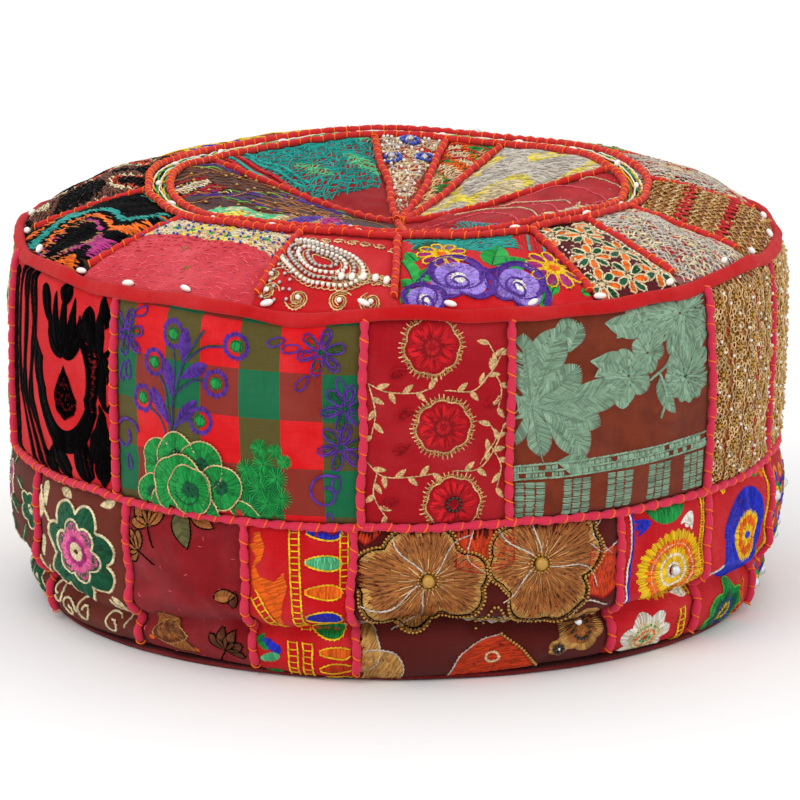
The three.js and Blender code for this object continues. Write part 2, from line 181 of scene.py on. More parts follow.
def shapeCover():
    n = cover["turnSteps"]
    rows = arange(0, endS + cover["riseStep"], cover["riseStep"])
    rows[-1] = endS
    th = arange(n) / n * 2 * pi - pi
    T, S = meshgrid(th, rows)
    r, z = radiusAt(S), np.interp(S, outlineS, outline[:, 1])
    nr = np.interp(S, outlineS, np.gradient(outline[:, 1], outlineS))
    nz = -np.interp(S, outlineS, np.gradient(outline[:, 0], outlineS))
    hold = clip(r / 40, 0, 1) * clip(S / 14, 0, 1)
    off = cover["lump"] * waves(3, T, S, 9, 6, 60) * hold
    # the fold: a notch round the cover, with a swelling above it
    d = z - foldLine(T)
    onSide = (S < seamS)
    notch = np.where(d > 0, exp(-(d / 5.5) ** 2), exp(-(d / 3.4) ** 2))
    deep = cover["foldDepth"] * (0.75 + 0.25 * sin(3 * T + 1))
    off = off - np.where(onSide, deep * notch, 0)
    off = off + np.where(onSide & (d > 0), 3.2 * exp(-((d - 12) / 8) ** 2), 0)
    rimBand = exp(-((S - rimS - 4) / 12) ** 2)
    z = z + rimBand * (1.1 * sin(7 * T + 0.5) + 0.8 * sin(12 * T + 2))
    off = off + rimBand * 0.8 * sin(9 * T)
    r = r + off * nr
    return rows, th, joined(r * sin(T), -r * cos(T), maximum(z + off * nz, 0.3))


def gridNormals(P):
    nrm = unit(np.cross(np.roll(P, -1, 1) - np.roll(P, 1, 1), np.gradient(P, axis=0)))
    nrm[-1] = (0, 0, 1)
    return nrm


coverRows, coverTurns, coverP = shapeCover()
coverN = gridNormals(coverP)


def puffUp(P, N):
    T, S = meshgrid(np.degrees(coverTurns), coverRows)
    d = seamDistance(T, S)
    along = np.radians(T) * coverRadius
    pucker = sin(along / 1.9 + 2 * sin(S / 9)) * sin(S / 2.3 + 2 * sin(along / 11))
    crease = waves(21, np.radians(T) * 3, S, 8, 9, 14)
    swell = cover["puff"] * (1 - exp(-(d / cover["puffReach"]) ** 2)) - 0.6 * exp(-(d / 4) ** 2)
    swell = swell + cover["crease"] * crease * clip(d / 12, 0, 1) + cover["pucker"] * pucker * exp(-(d / 8) ** 2)
    swell = swell * clip((S - 10) / 20, 0, 1) * clip((endS - S) / 40, 0, 1)
    return P + N * swell[..., None]


def addObject(name, data):
    obj = bpy.data.objects.new(name, data)
    bpy.context.collection.objects.link(obj)
    return obj


def makeMesh(name, verts, faces, uv=None, material=None):
    mesh = bpy.data.meshes.new(name)
    mesh.from_pydata([tuple(v) for v in asarray(verts) * mm], [], faces)
    if uv is not None:
        layer = mesh.uv_layers.new(name="cloth")
        loops = np.empty(len(mesh.loops), int)
        mesh.loops.foreach_get("vertex_index", loops)
        layer.data.foreach_set("uv", (asarray(uv)[loops] * mm).astype(np.float32).ravel())
    if material is not None:
        mesh.materials.append(material)
    mesh.polygons.foreach_set("use_smooth", [True] * len(mesh.polygons))
    mesh.update()
    return addObject(name, mesh)


def gridFaces(rows, cols, closed=False):
    # quads between rows of points; closed joins the last column to the first
    j, i = np.mgrid[:rows - 1, :cols if closed else cols - 1]
    a, b = j * cols + i, j * cols + (i + 1) % cols
    return joined(a, b, b + cols, a + cols).reshape(-1, 4).tolist()


coverCloth = {
    "turns": 180, "rowStep": 6.0, "seamHold": 3.2, "frames": 22, "most": 4.5, "puffLeft": 0.6,
    "settings": {"quality": 5, "mass": 0.3, "tension_stiffness": 14, "compression_stiffness": 14, "shear_stiffness": 5,
                 "bending_stiffness": 0.4, "air_damping": 4, "vertex_group_mass": "seams", "use_pressure": True,
                 "uniform_pressure_force": 4.0, "shrink_min": -0.015},
}


def blowUp(P):
    # the cover as one cloth held along its seams and blown up by its stuffing; returns how far it went
    turns = coverCloth["turns"]
    rows = arange(0, endS, coverCloth["rowStep"])
    T, S = meshgrid(np.degrees(linspace(-pi, pi, turns, endpoint=False)), rows)
    n = cover["turnSteps"]
    step = n // turns
    start = P[clip((rows / cover["riseStep"]).astype(int), 0, len(coverRows) - 1)][:, ::step]
    obj = makeMesh("coverCloth", start.reshape(-1, 3), gridFaces(len(rows), turns, True))
    hold = coverCloth["seamHold"]
    onFold = np.abs(S - sOfHeight(foldLine(np.radians(T)))) < hold
    held = ((seamDistance(T, S) < hold) | onFold | (S < 14) | (S > endS - 12)).ravel()
    group = obj.vertex_groups.new(name="seams")
    for weight in (0.0, 1.0):
        group.add([int(i) for i in np.nonzero(held == weight)[0]], weight, "REPLACE")
    modifier = obj.modifiers.new("cloth", "CLOTH")
    for key, value in coverCloth["settings"].items():
        setattr(modifier.settings, key, value)
    modifier.settings.effector_weights.gravity = 0
    modifier.collision_settings.use_collision = False
    modifier.point_cache.frame_end = coverCloth["frames"]
    scene = bpy.context.scene
    flat = np.empty(start.size)
    for frameNumber in range(1, coverCloth["frames"] + 1):
        scene.frame_set(frameNumber)
        evaluated = obj.evaluated_get(bpy.context.evaluated_depsgraph_get())
        evaluated.data.vertices.foreach_get("co", flat)
    moved = (flat.reshape(start.shape) / mm) - start
    scene.frame_set(1)
    mesh = obj.data
    bpy.data.objects.remove(obj)
    bpy.data.meshes.remove(mesh)
    length = np.linalg.norm(moved, axis=2, keepdims=True)
    moved *= np.minimum(1, coverCloth["most"] / maximum(length, 1e-6))
    print("cloth moved", round(float(length.max()), 1), "mm at most,", round(float(length.mean()), 2), "on average")
    # spread over the finer grid of the cover
    wide = np.repeat(moved, step, axis=1)
    after = np.roll(wide, -step, axis=1)
    share = (arange(n) % step / step)[None, :, None]
    wide = wide * (1 - share) + after * share
    v = clip(coverRows / coverCloth["rowStep"], 0, len(rows) - 1.001)
    k = v.astype(int)
    f = (v - k)[:, None, None]
    return wide[k] * (1 - f) + wide[k + 1] * f


moved = blowUp(coverP)
cover["puff"] = coverCloth["puffLeft"]
coverP = puffUp(coverP + moved, coverN)
coverN = gridNormals(coverP)
print("cover outline", round(endS), "mm from hem to middle")


def coverPoint(theta, s, lift=0.0):
    # theta in degrees, s in mm along the outline, lift off the cloth; arrays of any one shape
    theta, s, lift = np.broadcast_arrays(asarray(theta, float), asarray(s, float), asarray(lift, float))
    n = cover["turnSteps"]
    u = ((np.radians(theta) + pi) / (2 * pi) * n) % n
    i0 = np.floor(u).astype(int) % n
    fu = (u - np.floor(u))[..., None]
    i1 = (i0 + 1) % n
    v = clip(s / cover["riseStep"], 0, len(coverRows) - 1.0001)
    j0 = np.floor(v).astype(int)
    fv = (v - j0)[..., None]

    def mix(A):
        return ((A[j0, i0] * (1 - fu) + A[j0, i1] * fu) * (1 - fv)
                + (A[j0 + 1, i0] * (1 - fu) + A[j0 + 1, i1] * fu) * fv)
    nrm = unit(mix(coverN))
    return mix(coverP) + nrm * lift[..., None], nrm


# Nodes
def feed(tree, node, values):
    # numbers, colours and links into a node's sockets
    for key, value in values.items():
        if isinstance(value, bpy.types.Node):
            value = value.outputs[0]
        if isinstance(value, bpy.types.NodeSocket):
            tree.links.new(value, node.inputs[key])
        elif value is not None:
            node.inputs[key].default_value = value


def addNode(tree, kind, values={}, **settings):
    node = tree.nodes.new(kind)
    for key, value in settings.items():
        setattr(node, key, value)
    feed(tree, node, values)
    return node


def newTree(kind, name, ins, outs):
    tree = bpy.data.node_groups.new(name, kind)
    for way, sockets in (("INPUT", ins), ("OUTPUT", outs)):
        for label, socketKind, *value in sockets:
            socket = tree.interface.new_socket(label, in_out=way, socket_type="NodeSocket" + socketKind)
            if value:
                socket.default_value = value[0]
    return tree, tree.nodes.new("NodeGroupInput"), tree.nodes.new("NodeGroupOutput")


def mathNode(tree, operation, *values, clamp=False):
    return addNode(tree, "ShaderNodeMath", dict(enumerate(values)), operation=operation, use_clamp=clamp).outputs[0]


def mixColour(tree, factor, a, b):
    return addNode(tree, "ShaderNodeMix", {0: factor, 6: a, 7: b}, data_type="RGBA", clamp_factor=True).outputs[2]


def noiseNode(tree, vector, scale, detail=3, rough=0.55, distortion=0.0):
    values = {"Vector": vector, "Scale": scale, "Detail": detail, "Roughness": rough, "Distortion": distortion}
    return addNode(tree, "ShaderNodeTexNoise", values).outputs["Fac"]


def stretch(tree, vector, sx, sy):
    return addNode(tree, "ShaderNodeMapping", {"Vector": vector, "Scale": (sx, sy, 1)}).outputs[0]


def bumpNode(tree, height, strength, distance):
    return addNode(tree, "ShaderNodeBump", {"Strength": strength, "Distance": distance, "Height": height}).outputs[0]


def objectPlace(tree):
    return addNode(tree, "ShaderNodeTexCoord").outputs["Object"]


def apart(tree, vector):
    return addNode(tree, "ShaderNodeSeparateXYZ", {0: vector}).outputs


def srgb(code):
    rgb = [int(code[i:i + 2], 16) / 255 for i in (0, 2, 4)]
    return (*(c / 12.92 if c <= 0.04045 else ((c + 0.055) / 1.055) ** 2.4 for c in rgb), 1)


def makeWeave():
    # crossing threads, uneven along their length
    tree, gin, gout = newTree("ShaderNodeTree", "plainWeave",
                              [("Vector", "Vector"), ("Pitch", "Float", 0.0009), ("Slub", "Float", 0.5)],
                              [("Height", "Float"), ("Streak", "Float")])
    m = partial(mathNode, tree)
    vector, pitch, slub = gin.outputs[:3]
    turn = m("DIVIDE", pi, pitch)
    u, v = (m("SINE", m("MULTIPLY", part, turn)) for part in apart(tree, vector)[:2])
    warp, weft = (noiseNode(tree, stretch(tree, vector, *size), 1.0, 2) for size in ((1400, 60), (60, 1400)))
    streak = m("MULTIPLY_ADD", m("ADD", warp, weft), 0.5, 0.0)
    height = m("ADD", m("ABSOLUTE", m("MULTIPLY", u, v)), m("MULTIPLY", streak, slub))
    feed(tree, gout, {"Height": height, "Streak": streak})
    return tree


def makeFade():
    # dye that has faded in blotches, along threads and in specks
    tree, gin, gout = newTree("ShaderNodeTree", "wornFade",
                              [("Colour", "Color"), ("Vector", "Vector"), ("Streak", "Float", 0.5), ("Amount", "Float", 0.3)],
                              [("Colour", "Color"), ("Rough", "Float")])
    m = partial(mathNode, tree)
    colour, vector, streak, amount = gin.outputs[:4]
    slow = noiseNode(tree, vector, 22, 4, 0.6)
    fine = noiseNode(tree, vector, 420, 3, 0.7)
    blotch = m("MULTIPLY", m("SUBTRACT", slow, 0.5), amount)
    light = m("MULTIPLY_ADD", blotch, 1.4, 1.0)
    light = m("ADD", light, m("MULTIPLY", m("SUBTRACT", streak, 0.5), 0.55))
    light = m("ADD", light, m("MULTIPLY", m("SUBTRACT", fine, 0.5), 0.3))
    hsv = addNode(tree, "ShaderNodeHueSaturation",
                  {"Value": light, "Saturation": m("MULTIPLY_ADD", blotch, -0.5, 1.0), "Color": colour})
    feed(tree, gout, {"Colour": hsv, "Rough": m("MULTIPLY_ADD", fine, 0.2, 0.75)})
    return tree


weaveGroup = makeWeave()
fadeGroup = makeFade()


def newMaterial(name):
    material = bpy.data.materials.new(name)
    material.use_nodes = True
    tree = material.node_tree
    tree.nodes.clear()
    shader = addNode(tree, "ShaderNodeBsdfPrincipled")
    addNode(tree, "ShaderNodeOutputMaterial", {0: shader})
    return material, tree, shader


def clothMaterial(name, colour, pattern=None, pitch=0.9, fade=0.35, bump=0.5, sheen=0.06):
    # colour is an sRGB code; pattern(tree, uv, ground) may paint over it
    material, tree, shader = newMaterial(name)
    ground = srgb(colour)
    material.diffuse_color = ground
    uv = addNode(tree, "ShaderNodeUVMap", uv_map="cloth").outputs[0]
    weave = addNode(tree, "ShaderNodeGroup", node_tree=weaveGroup)
    feed(tree, weave, {"Pitch": pitch * mm, "Slub": 0.6, "Vector": uv})
    worn = addNode(tree, "ShaderNodeGroup", node_tree=fadeGroup)
    feed(tree, worn, {"Amount": fade, "Vector": uv, "Streak": weave.outputs["Streak"],
                      "Colour": pattern(tree, uv, ground) if pattern else ground})
    feed(tree, shader, {"Base Color": worn.outputs["Colour"], "Roughness": worn.outputs["Rough"],
                        "Normal": bumpNode(tree, weave.outputs["Height"], bump, 0.0007),
                        "Sheen Weight": sheen, "Sheen Roughness": 0.5, "Specular IOR Level": 0.2})
    return material


threadMaterials = {}
threadColours = {
    "red": "c4232a", "rope": "cf2f38", "crimson": "a60f1b", "scarlet": "d01c26", "orange": "f2711a", "yellow": "f2c21e",
    "lemon": "e9d75a", "gold": "c99a56", "paleGold": "e2c08a", "bronze": "aa6830", "brown": "6a3a22", "black": "060405",
    "white": "efe9dd", "cream": "dfcfa6", "silver": "cdc4b8", "sage": "8caa90", "mint": "5fc48c", "olive": "66633c",
    "green": "1f9444", "leafGreen": "2aa648", "deepGreen": "1c5a3c", "lime": "6fb53a", "teal": "1f9b90", "blue": "2a35c0",
    "sky": "4f9bd6", "purple": "5a3294", "lilac": "a184d8", "pink": "e2679a", "rose": "e8606e", "magenta": "b02f7c",
    "rust": "c8401c",
}
threadShine = {"gold": 0.6, "paleGold": 0.55, "bronze": 0.2, "silver": 0.55}


def threadMaterial(colour, shade=1):
    # three shades of each thread colour
    key = f"thread_{colour}_{shade}"
    if key not in threadMaterials:
        material, tree, shader = newMaterial(key)
        value = (0.74, 1.0, 1.22)[shade]
        rgb = (*(min(1, c * value) for c in srgb(threadColours[colour])[:3]), 1)
        shine = threadShine.get(colour, 0.0)
        black = colour == "black"
        feed(tree, shader, {"Base Color": rgb, "Metallic": shine, "Roughness": 0.38 if shine else 0.6,
                            "Sheen Weight": 0.0 if shine or black else 0.03,
                            "Specular IOR Level": 0.3 if shine else 0.02 if black else 0.12})
        material.diffuse_color = rgb
        threadMaterials[key] = material
    return threadMaterials[key]


def sewn(obj, slot, *nodes):
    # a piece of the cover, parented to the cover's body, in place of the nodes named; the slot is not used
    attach(obj, "cover")
    if nodes:
        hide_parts(*nodes)


# Cloth pieces
def clothGrid(name, thetaA, thetaB, sA, sB, material, step=2.6, tuck=1.0):
    width = (thetaB - thetaA) * pi / 180 * max(float(radiusAt((sA + sB) / 2)), 20)
    nu = max(6, int(width / step))
    nv = max(6, int((sB - sA) / step))
    T, S = meshgrid(linspace(thetaA, thetaB, nu + 1), linspace(sA, sB, nv + 1))
    L = np.zeros(T.shape)
    for edge in (L[0], L[-1], L[:, 0], L[:, -1]):
        edge -= tuck
    P, _ = coverPoint(T, S, L)
    U = (T - thetaA) * pi / 180 * radiusAt(S)
    return makeMesh(name, P.reshape(-1, 3), gridFaces(nv + 1, nu + 1), joined(U, S - sA).reshape(-1, 2), material)


def ringCloth(name, sA, sB, lift, material, step=4.0, turns=180):
    # cloth all the way round between two heights
    nv = max(2, int((sB - sA) / step))
    T, S = meshgrid(linspace(-180, 180, turns, endpoint=False), linspace(sA, sB, nv + 1))
    P, _ = coverPoint(T, S, lift)
    uv = joined(T * pi / 180 * coverRadius, S).reshape(-1, 2)
    return makeMesh(name, P.reshape(-1, 3), gridFaces(nv + 1, turns, True), uv, material)


patches = {}
for prefix, seams, sA, sB in (("upper", upperSeams, seamS, rimS + 3), ("lower", lowerSeams, 0.0, seamS),
                              ("crown", crownSeams, rimS + 2, ringS), ("centre", centreSeams, ringS, endS - 1.5)):
    for i, (a, b) in enumerate(zip(seams, seams[1:] + [seams[0] + 360])):
        patches[f"{prefix}_patch_{i + 1:02d}"] = (a, b, sA, sB)


# Geometry node trees
def geoTree(name, *inputs):
    return newTree("GeometryNodeTree", name, [("Geometry", "Geometry"), *inputs], [("Geometry", "Geometry")])


def named(tree, name, kind="FLOAT"):
    return addNode(tree, "GeometryNodeInputNamedAttribute", {0: name}, data_type=kind).outputs[0]


def grow(obj, tree, **values):
    # runs the tree on the object and keeps the result as its plain mesh
    modifier = obj.modifiers.new("grow", "NODES")
    modifier.node_group = tree
    for item in tree.interface.items_tree:
        if item.item_type == "SOCKET" and item.in_out == "INPUT" and item.name in values:
            modifier[item.identifier] = values[item.name]
    depsgraph = bpy.context.evaluated_depsgraph_get()
    mesh = bpy.data.meshes.new_from_object(obj.evaluated_get(depsgraph))
    old = obj.data
    obj.modifiers.clear()
    obj.data = mesh
    mesh.name = obj.name
    bpy.data.meshes.remove(old)
    return obj


def setMaterials(tree, last, materials, attribute="shade"):
    # one Set Material for each thread, picked by the number stored on it
    for i, material in enumerate(materials):
        step = addNode(tree, "GeometryNodeSetMaterial", {0: last, "Material": material})
        if len(materials) > 1:
            same = addNode(tree, "FunctionNodeCompare", data_type="INT", operation="EQUAL")
            feed(tree, same, {2: named(tree, attribute, "INT"), 3: i})
            feed(tree, step, {"Selection": same})
        last = step
    return last


def circleCurve(tree, resolution, radius=1.0):
    return addNode(tree, "GeometryNodeCurvePrimitiveCircle", {"Resolution": resolution, "Radius": radius})


def smoothReal(tree, last):
    # plain, smooth-shaded geometry
    return addNode(tree, "GeometryNodeSetShadeSmooth", {0: addNode(tree, "GeometryNodeRealizeInstances", {0: last})})


def threadTree(materials):
    tree, gin, gout = geoTree("layThreads", ("Sides", "Int", 4))
    curve = addNode(tree, "GeometryNodeMeshToCurve", {0: gin})
    sweep = addNode(tree, "GeometryNodeCurveToMesh", {0: curve, "Profile Curve": circleCurve(tree, gin.outputs["Sides"]),
                                                      "Scale": named(tree, "thick")})
    feed(tree, gout, {0: setMaterials(tree, smoothReal(tree, sweep), materials)})
    return tree


def store(mesh, name, kind, values):
    field = "vector" if kind == "FLOAT_VECTOR" else "value"
    values = asarray(values).astype(np.int32 if kind == "INT" else np.float32)
    mesh.attributes.new(name, kind, "POINT").data.foreach_set(field, values.ravel())


def layThreads(name, groups, materials, sides=4):
    # groups: arrays of points (count, points each, 3) with a thickness and a shade for each thread
    verts, edges, thick, shade = [], [], [], []
    start = 0
    for pts, radius, index in groups:
        n, k = pts.shape[:2]
        verts.append(pts.reshape(-1, 3))
        ids = start + arange(n * k).reshape(n, k)
        edges.append(joined(ids[:, :-1], ids[:, 1:]).reshape(-1, 2))
        thick.append(broadcast_to(asarray(radius, float).reshape(-1, 1), (n, k)).ravel())
        shade.append(broadcast_to(asarray(index).reshape(-1, 1), (n, k)).ravel())
        start += n * k
    verts = concatenate(verts) * mm
    edges = concatenate(edges)
    mesh = bpy.data.meshes.new(name)
    mesh.vertices.add(len(verts))
    mesh.vertices.foreach_set("co", verts.astype(np.float32).ravel())
    mesh.edges.add(len(edges))
    mesh.edges.foreach_set("vertices", edges.astype(np.int32).ravel())
    store(mesh, "thick", "FLOAT", concatenate(thick) * mm)
    store(mesh, "shade", "INT", concatenate(shade))
    return grow(addObject(name, mesh), threadTree(materials), Sides=sides)


def beadTree(material):
    tree, gin, gout = geoTree("sewBeads", ("Segments", "Int", 8), ("Rings", "Int", 6))
    sphere = addNode(tree, "GeometryNodeMeshUVSphere", {key: gin.outputs[key] for key in ("Segments", "Rings")})
    align = addNode(tree, "FunctionNodeAxesToRotation", {0: named(tree, "heading", "FLOAT_VECTOR"),
                                                         1: named(tree, "up", "FLOAT_VECTOR")},
                    primary_axis="Z", secondary_axis="X")
    place = addNode(tree, "GeometryNodeInstanceOnPoints", {
        0: addNode(tree, "GeometryNodeMeshToPoints", {0: gin}), "Instance": sphere, "Rotation": align,
        "Scale": named(tree, "size", "FLOAT_VECTOR")})
    feed(tree, gout, {0: setMaterials(tree, smoothReal(tree, place), [material])})
    return tree


def sewBeads(name, points, heading, up, size, material, segments=8, rings=6):
    # size: half width across the bead and half its length, along the heading
    count = len(points)
    mesh = bpy.data.meshes.new(name)
    mesh.vertices.add(count)
    mesh.vertices.foreach_set("co", (asarray(points) * mm).astype(np.float32).ravel())
    sizes = broadcast_to(asarray(size, float), (count, 2)) * mm
    for label, values in (("heading", heading), ("up", up), ("size", sizes[:, [0, 0, 1]])):
        store(mesh, label, "FLOAT_VECTOR", broadcast_to(values, (count, 3)))
    return grow(addObject(name, mesh), beadTree(material), Segments=segments, Rings=rings)


# A cord over a seam: a lumpy tube drawn in by couching stitches
def cordTree(cordMaterial, stitchMaterial):
    tree, gin, gout = geoTree("coverSeam", ("Radius", "Float", 0.0024), ("Spacing", "Float", 0.0095),
                              ("Pinch", "Float", 0.3), ("Lump", "Float", 0.14), ("Slant", "Float", 0.5), ("Seed", "Int", 3))
    m, out = partial(mathNode, tree), gin.outputs
    curve = addNode(tree, "GeometryNodeMeshToCurve", {0: gin})
    resample = addNode(tree, "GeometryNodeResampleCurve", {0: curve, "Length": 0.0013}, mode="LENGTH")
    along = addNode(tree, "GeometryNodeSplineParameter").outputs["Length"]
    turn = m("MULTIPLY", m("DIVIDE", along, out["Spacing"]), 2 * pi)
    dip = m("POWER", m("MULTIPLY_ADD", m("COSINE", turn), 0.5, 0.5), 3.0)
    noise = addNode(tree, "ShaderNodeTexNoise", {"Scale": 130.0, "Detail": 2.0}).outputs[0]
    lump = m("MULTIPLY", m("SUBTRACT", noise, 0.5), out["Lump"])
    share = m("ADD", m("SUBTRACT", 1.0, m("MULTIPLY", dip, out["Pinch"])), m("MULTIPLY", lump, 2.0))
    sweep = addNode(tree, "GeometryNodeCurveToMesh", {0: resample, "Profile Curve": circleCurve(tree, 9), "Fill Caps": True,
                                                      "Scale": m("MULTIPLY", share, out["Radius"])})
    cordStep = setMaterials(tree, addNode(tree, "GeometryNodeSetShadeSmooth", {0: sweep}), [cordMaterial])
    # the stitches: half hoops over the cord
    hoop = addNode(tree, "GeometryNodeCurveArc", {"Resolution": 9, "Radius": 1.0, "Start Angle": radians(-28),
                                                  "Sweep Angle": radians(236)})
    hoopSweep = addNode(tree, "GeometryNodeCurveToMesh", {0: hoop, "Profile Curve": circleCurve(tree, 5, 0.17)})
    points = addNode(tree, "GeometryNodeCurveToPoints", {0: curve, "Length": out["Spacing"]}, mode="LENGTH")
    tangent, up = points.outputs["Tangent"], named(tree, "up", "FLOAT_VECTOR")
    across = addNode(tree, "ShaderNodeVectorMath", {0: tangent, 1: up}, operation="CROSS_PRODUCT")
    slant = addNode(tree, "ShaderNodeCombineXYZ", {i: out["Slant"] for i in range(3)})
    heading = addNode(tree, "ShaderNodeVectorMath", {0: across, 1: slant, 2: tangent}, operation="MULTIPLY_ADD")
    align = addNode(tree, "FunctionNodeAxesToRotation", {0: heading, 1: up}, primary_axis="Z", secondary_axis="Y")
    spread = addNode(tree, "FunctionNodeRandomValue", {2: 0.9, 3: 1.06, "Seed": out["Seed"]}, data_type="FLOAT").outputs[1]
    place = addNode(tree, "GeometryNodeInstanceOnPoints", {
        0: points, "Instance": hoopSweep, "Rotation": align,
        "Scale": m("MULTIPLY", m("MULTIPLY", out["Radius"], spread), 0.97)})
    hoopStep = setMaterials(tree, smoothReal(tree, place), [stitchMaterial])
    join = addNode(tree, "GeometryNodeJoinGeometry", {0: hoopStep})
    feed(tree, join, {0: cordStep})
    feed(tree, gout, {0: join})
    return tree


def pathMesh(name, paths):
    # paths: points, their up vectors and whether the ends meet
    edges = []
    start = 0
    for pts, up, closed in paths:
        ids = arange(start, start + len(pts))
        edges.append(joined(ids[:-1], ids[1:]))
        if closed:
            edges.append([[ids[-1], ids[0]]])
        start += len(pts)
    mesh = bpy.data.meshes.new(name)
    mesh.from_pydata([tuple(v) for v in concatenate([p[0] for p in paths]) * mm], concatenate(edges).tolist(), [])
    store(mesh, "up", "FLOAT_VECTOR", concatenate([p[1] for p in paths]))
    return addObject(name, mesh)


def ringPath(s, lift, wobble=0.5, seed=1):
    th = linspace(-180, 180, 420, endpoint=False)
    g = np.random.default_rng(seed)
    sway = sum(g.normal() * sin(np.radians(th) * k + g.uniform(0, 6)) for k in (5, 9, 14, 23)) * wobble * 0.5
    return *coverPoint(th, s + sway, lift), True


def seamPath(theta, sA, sB, lift, wobble=0.5, seed=1):
    ss = linspace(sA, sB, max(8, int((sB - sA) / 2.5)))
    g = np.random.default_rng(seed + int(theta * 7) % 1000)
    sway = sum(g.normal() * sin(ss / k + g.uniform(0, 6)) for k in (9, 21, 40)) * wobble * 0.5
    return *coverPoint(theta + np.degrees(sway / maximum(radiusAt(ss), 25)), ss, lift), False


def cordFinish(name, colour, tone):
    # spun cotton: two tones, with painted shade between the fibres, and a fuzz
    material, tree, shader = newMaterial(name)
    place, ground = objectPlace(tree), srgb(colour)
    base = mixColour(tree, noiseNode(tree, place, 60, 2, 0.5), ground, srgb(tone))
    # painted shade: fine noise mixes in a darker tone, as if shade fell between the fibres
    soft = mathNode(tree, "MULTIPLY", noiseNode(tree, place, 900, 3, 0.6), 0.55)
    feed(tree, shader, {"Base Color": mixColour(tree, soft, base, (*(c * 0.45 for c in ground[:3]), 1)),
                        "Normal": bumpNode(tree, noiseNode(tree, place, 1500, 4, 0.7), 0.7, 0.0005),
                        "Roughness": 0.85, "Sheen Weight": 0.1, "Specular IOR Level": 0.2})
    return material


sideCord = {"radius": 2.35, "spacing": 9.2, "lift": 1.6, "wobble": 1.0}
topCord = {"radius": 2.1, "spacing": 7.0, "lift": 1.4}

sideTree = cordTree(cordFinish("sideCordCotton", "e0264a", "e63a58"), threadMaterial("orange", 1))
topTree = cordTree(cordFinish("topCordCotton", "d41f24", "e23a34"), threadMaterial("orange", 2))


def cordPiece(name, paths, tree, look, node, slot):
    obj = grow(pathMesh(name, paths), tree, Radius=look["radius"] * mm, Spacing=look["spacing"] * mm)
    sewn(obj, slot, node)


paths = [ringPath(seamS, sideCord["lift"] + 0.4, 0.9, 5)]
paths += [seamPath(a, seamS + 2, rimS - 1, sideCord["lift"], sideCord["wobble"], 2) for a in upperSeams]
paths += [seamPath(a, 18.0, seamS - 2, sideCord["lift"], sideCord["wobble"], 3) for a in lowerSeams]
cordPiece("sideSeamCords", paths, sideTree, sideCord, "side_seam_cords", "side_cord")

paths = [ringPath(ringS - ringHalf, topCord["lift"] + 0.9, 0.7, 8)]
paths += [seamPath(a, crownS + 4, ringS - ringHalf - 2, topCord["lift"], 0.9, 4) for a in crownSeams]
cordPiece("outerRingCord", paths, topTree, topCord, "ring_cord_outer", "top_cord")
paths = [ringPath(ringS + ringHalf, topCord["lift"] + 0.9, 0.7, 9)]
paths += [seamPath(a, ringS + ringHalf + 2, endS - 4, topCord["lift"], 1.2, 6) for a in centreSeams]
cordPiece("innerRingCord", paths, topTree, topCord, "ring_cord_inner", "top_cord")
print("cords laid")

# Folded binding at the rim: cloth laid over the join, leaning outwards
binding = {"halfWide": 3.6, "halfThick": 2.3, "tilt": -58, "out": 2.6, "drop": 0.9, "wave": 1.7, "turns": 540, "section": 26}


def makeBinding():
    n, k = binding["turns"], binding["section"]
    th = linspace(-180, 180, n, endpoint=False)
    t = np.radians(th)
    wave = (sin(11 * t + 1) + 0.7 * sin(17 * t + 2.2) + 0.5 * sin(29 * t)) * binding["wave"] * 0.5
    flat, _ = coverPoint(th, rimS + 3.5, 0)
    rad = np.hypot(flat[:, 0], flat[:, 1])
    a = linspace(0, 2 * pi, k, endpoint=False)
    outX, outZ = cos(a), sin(a)
    sx = np.sign(outX) * np.abs(outX) ** 0.75 * binding["halfWide"]
    sz = np.sign(outZ) * np.abs(outZ) ** 0.8 * binding["halfThick"]
    tilt = radians(binding["tilt"])
    px = sx * math.cos(tilt) - sz * math.sin(tilt)
    pz = sx * math.sin(tilt) + sz * math.cos(tilt)
    verts, uv = [], []
    for i in range(n):
        pucker = 1 + 0.06 * math.sin(23 * t[i] + 1.1) + 0.04 * math.sin(41 * t[i])
        r = rad[i] + binding["out"] + px * pucker + wave[i] * 0.5
        z = flat[i, 2] - binding["drop"] + pz * pucker + wave[i]
        verts.append(joined(r * math.sin(t[i]), -r * math.cos(t[i]), z))
        uv.append(joined(t[i] * coverRadius, arange(k) * 1.1))
    faces = [(i * k + j, ((i + 1) % n) * k + j, ((i + 1) % n) * k + (j + 1) % k, i * k + (j + 1) % k)
             for i in range(n) for j in range(k)]
    return makeMesh("rimBinding", concatenate(verts), faces, concatenate(uv),
                    clothMaterial("bindingCotton", "bf1014", pitch=0.6, fade=0.25, bump=0.4))


sewn(makeBinding(), "binding", "rim_binding")

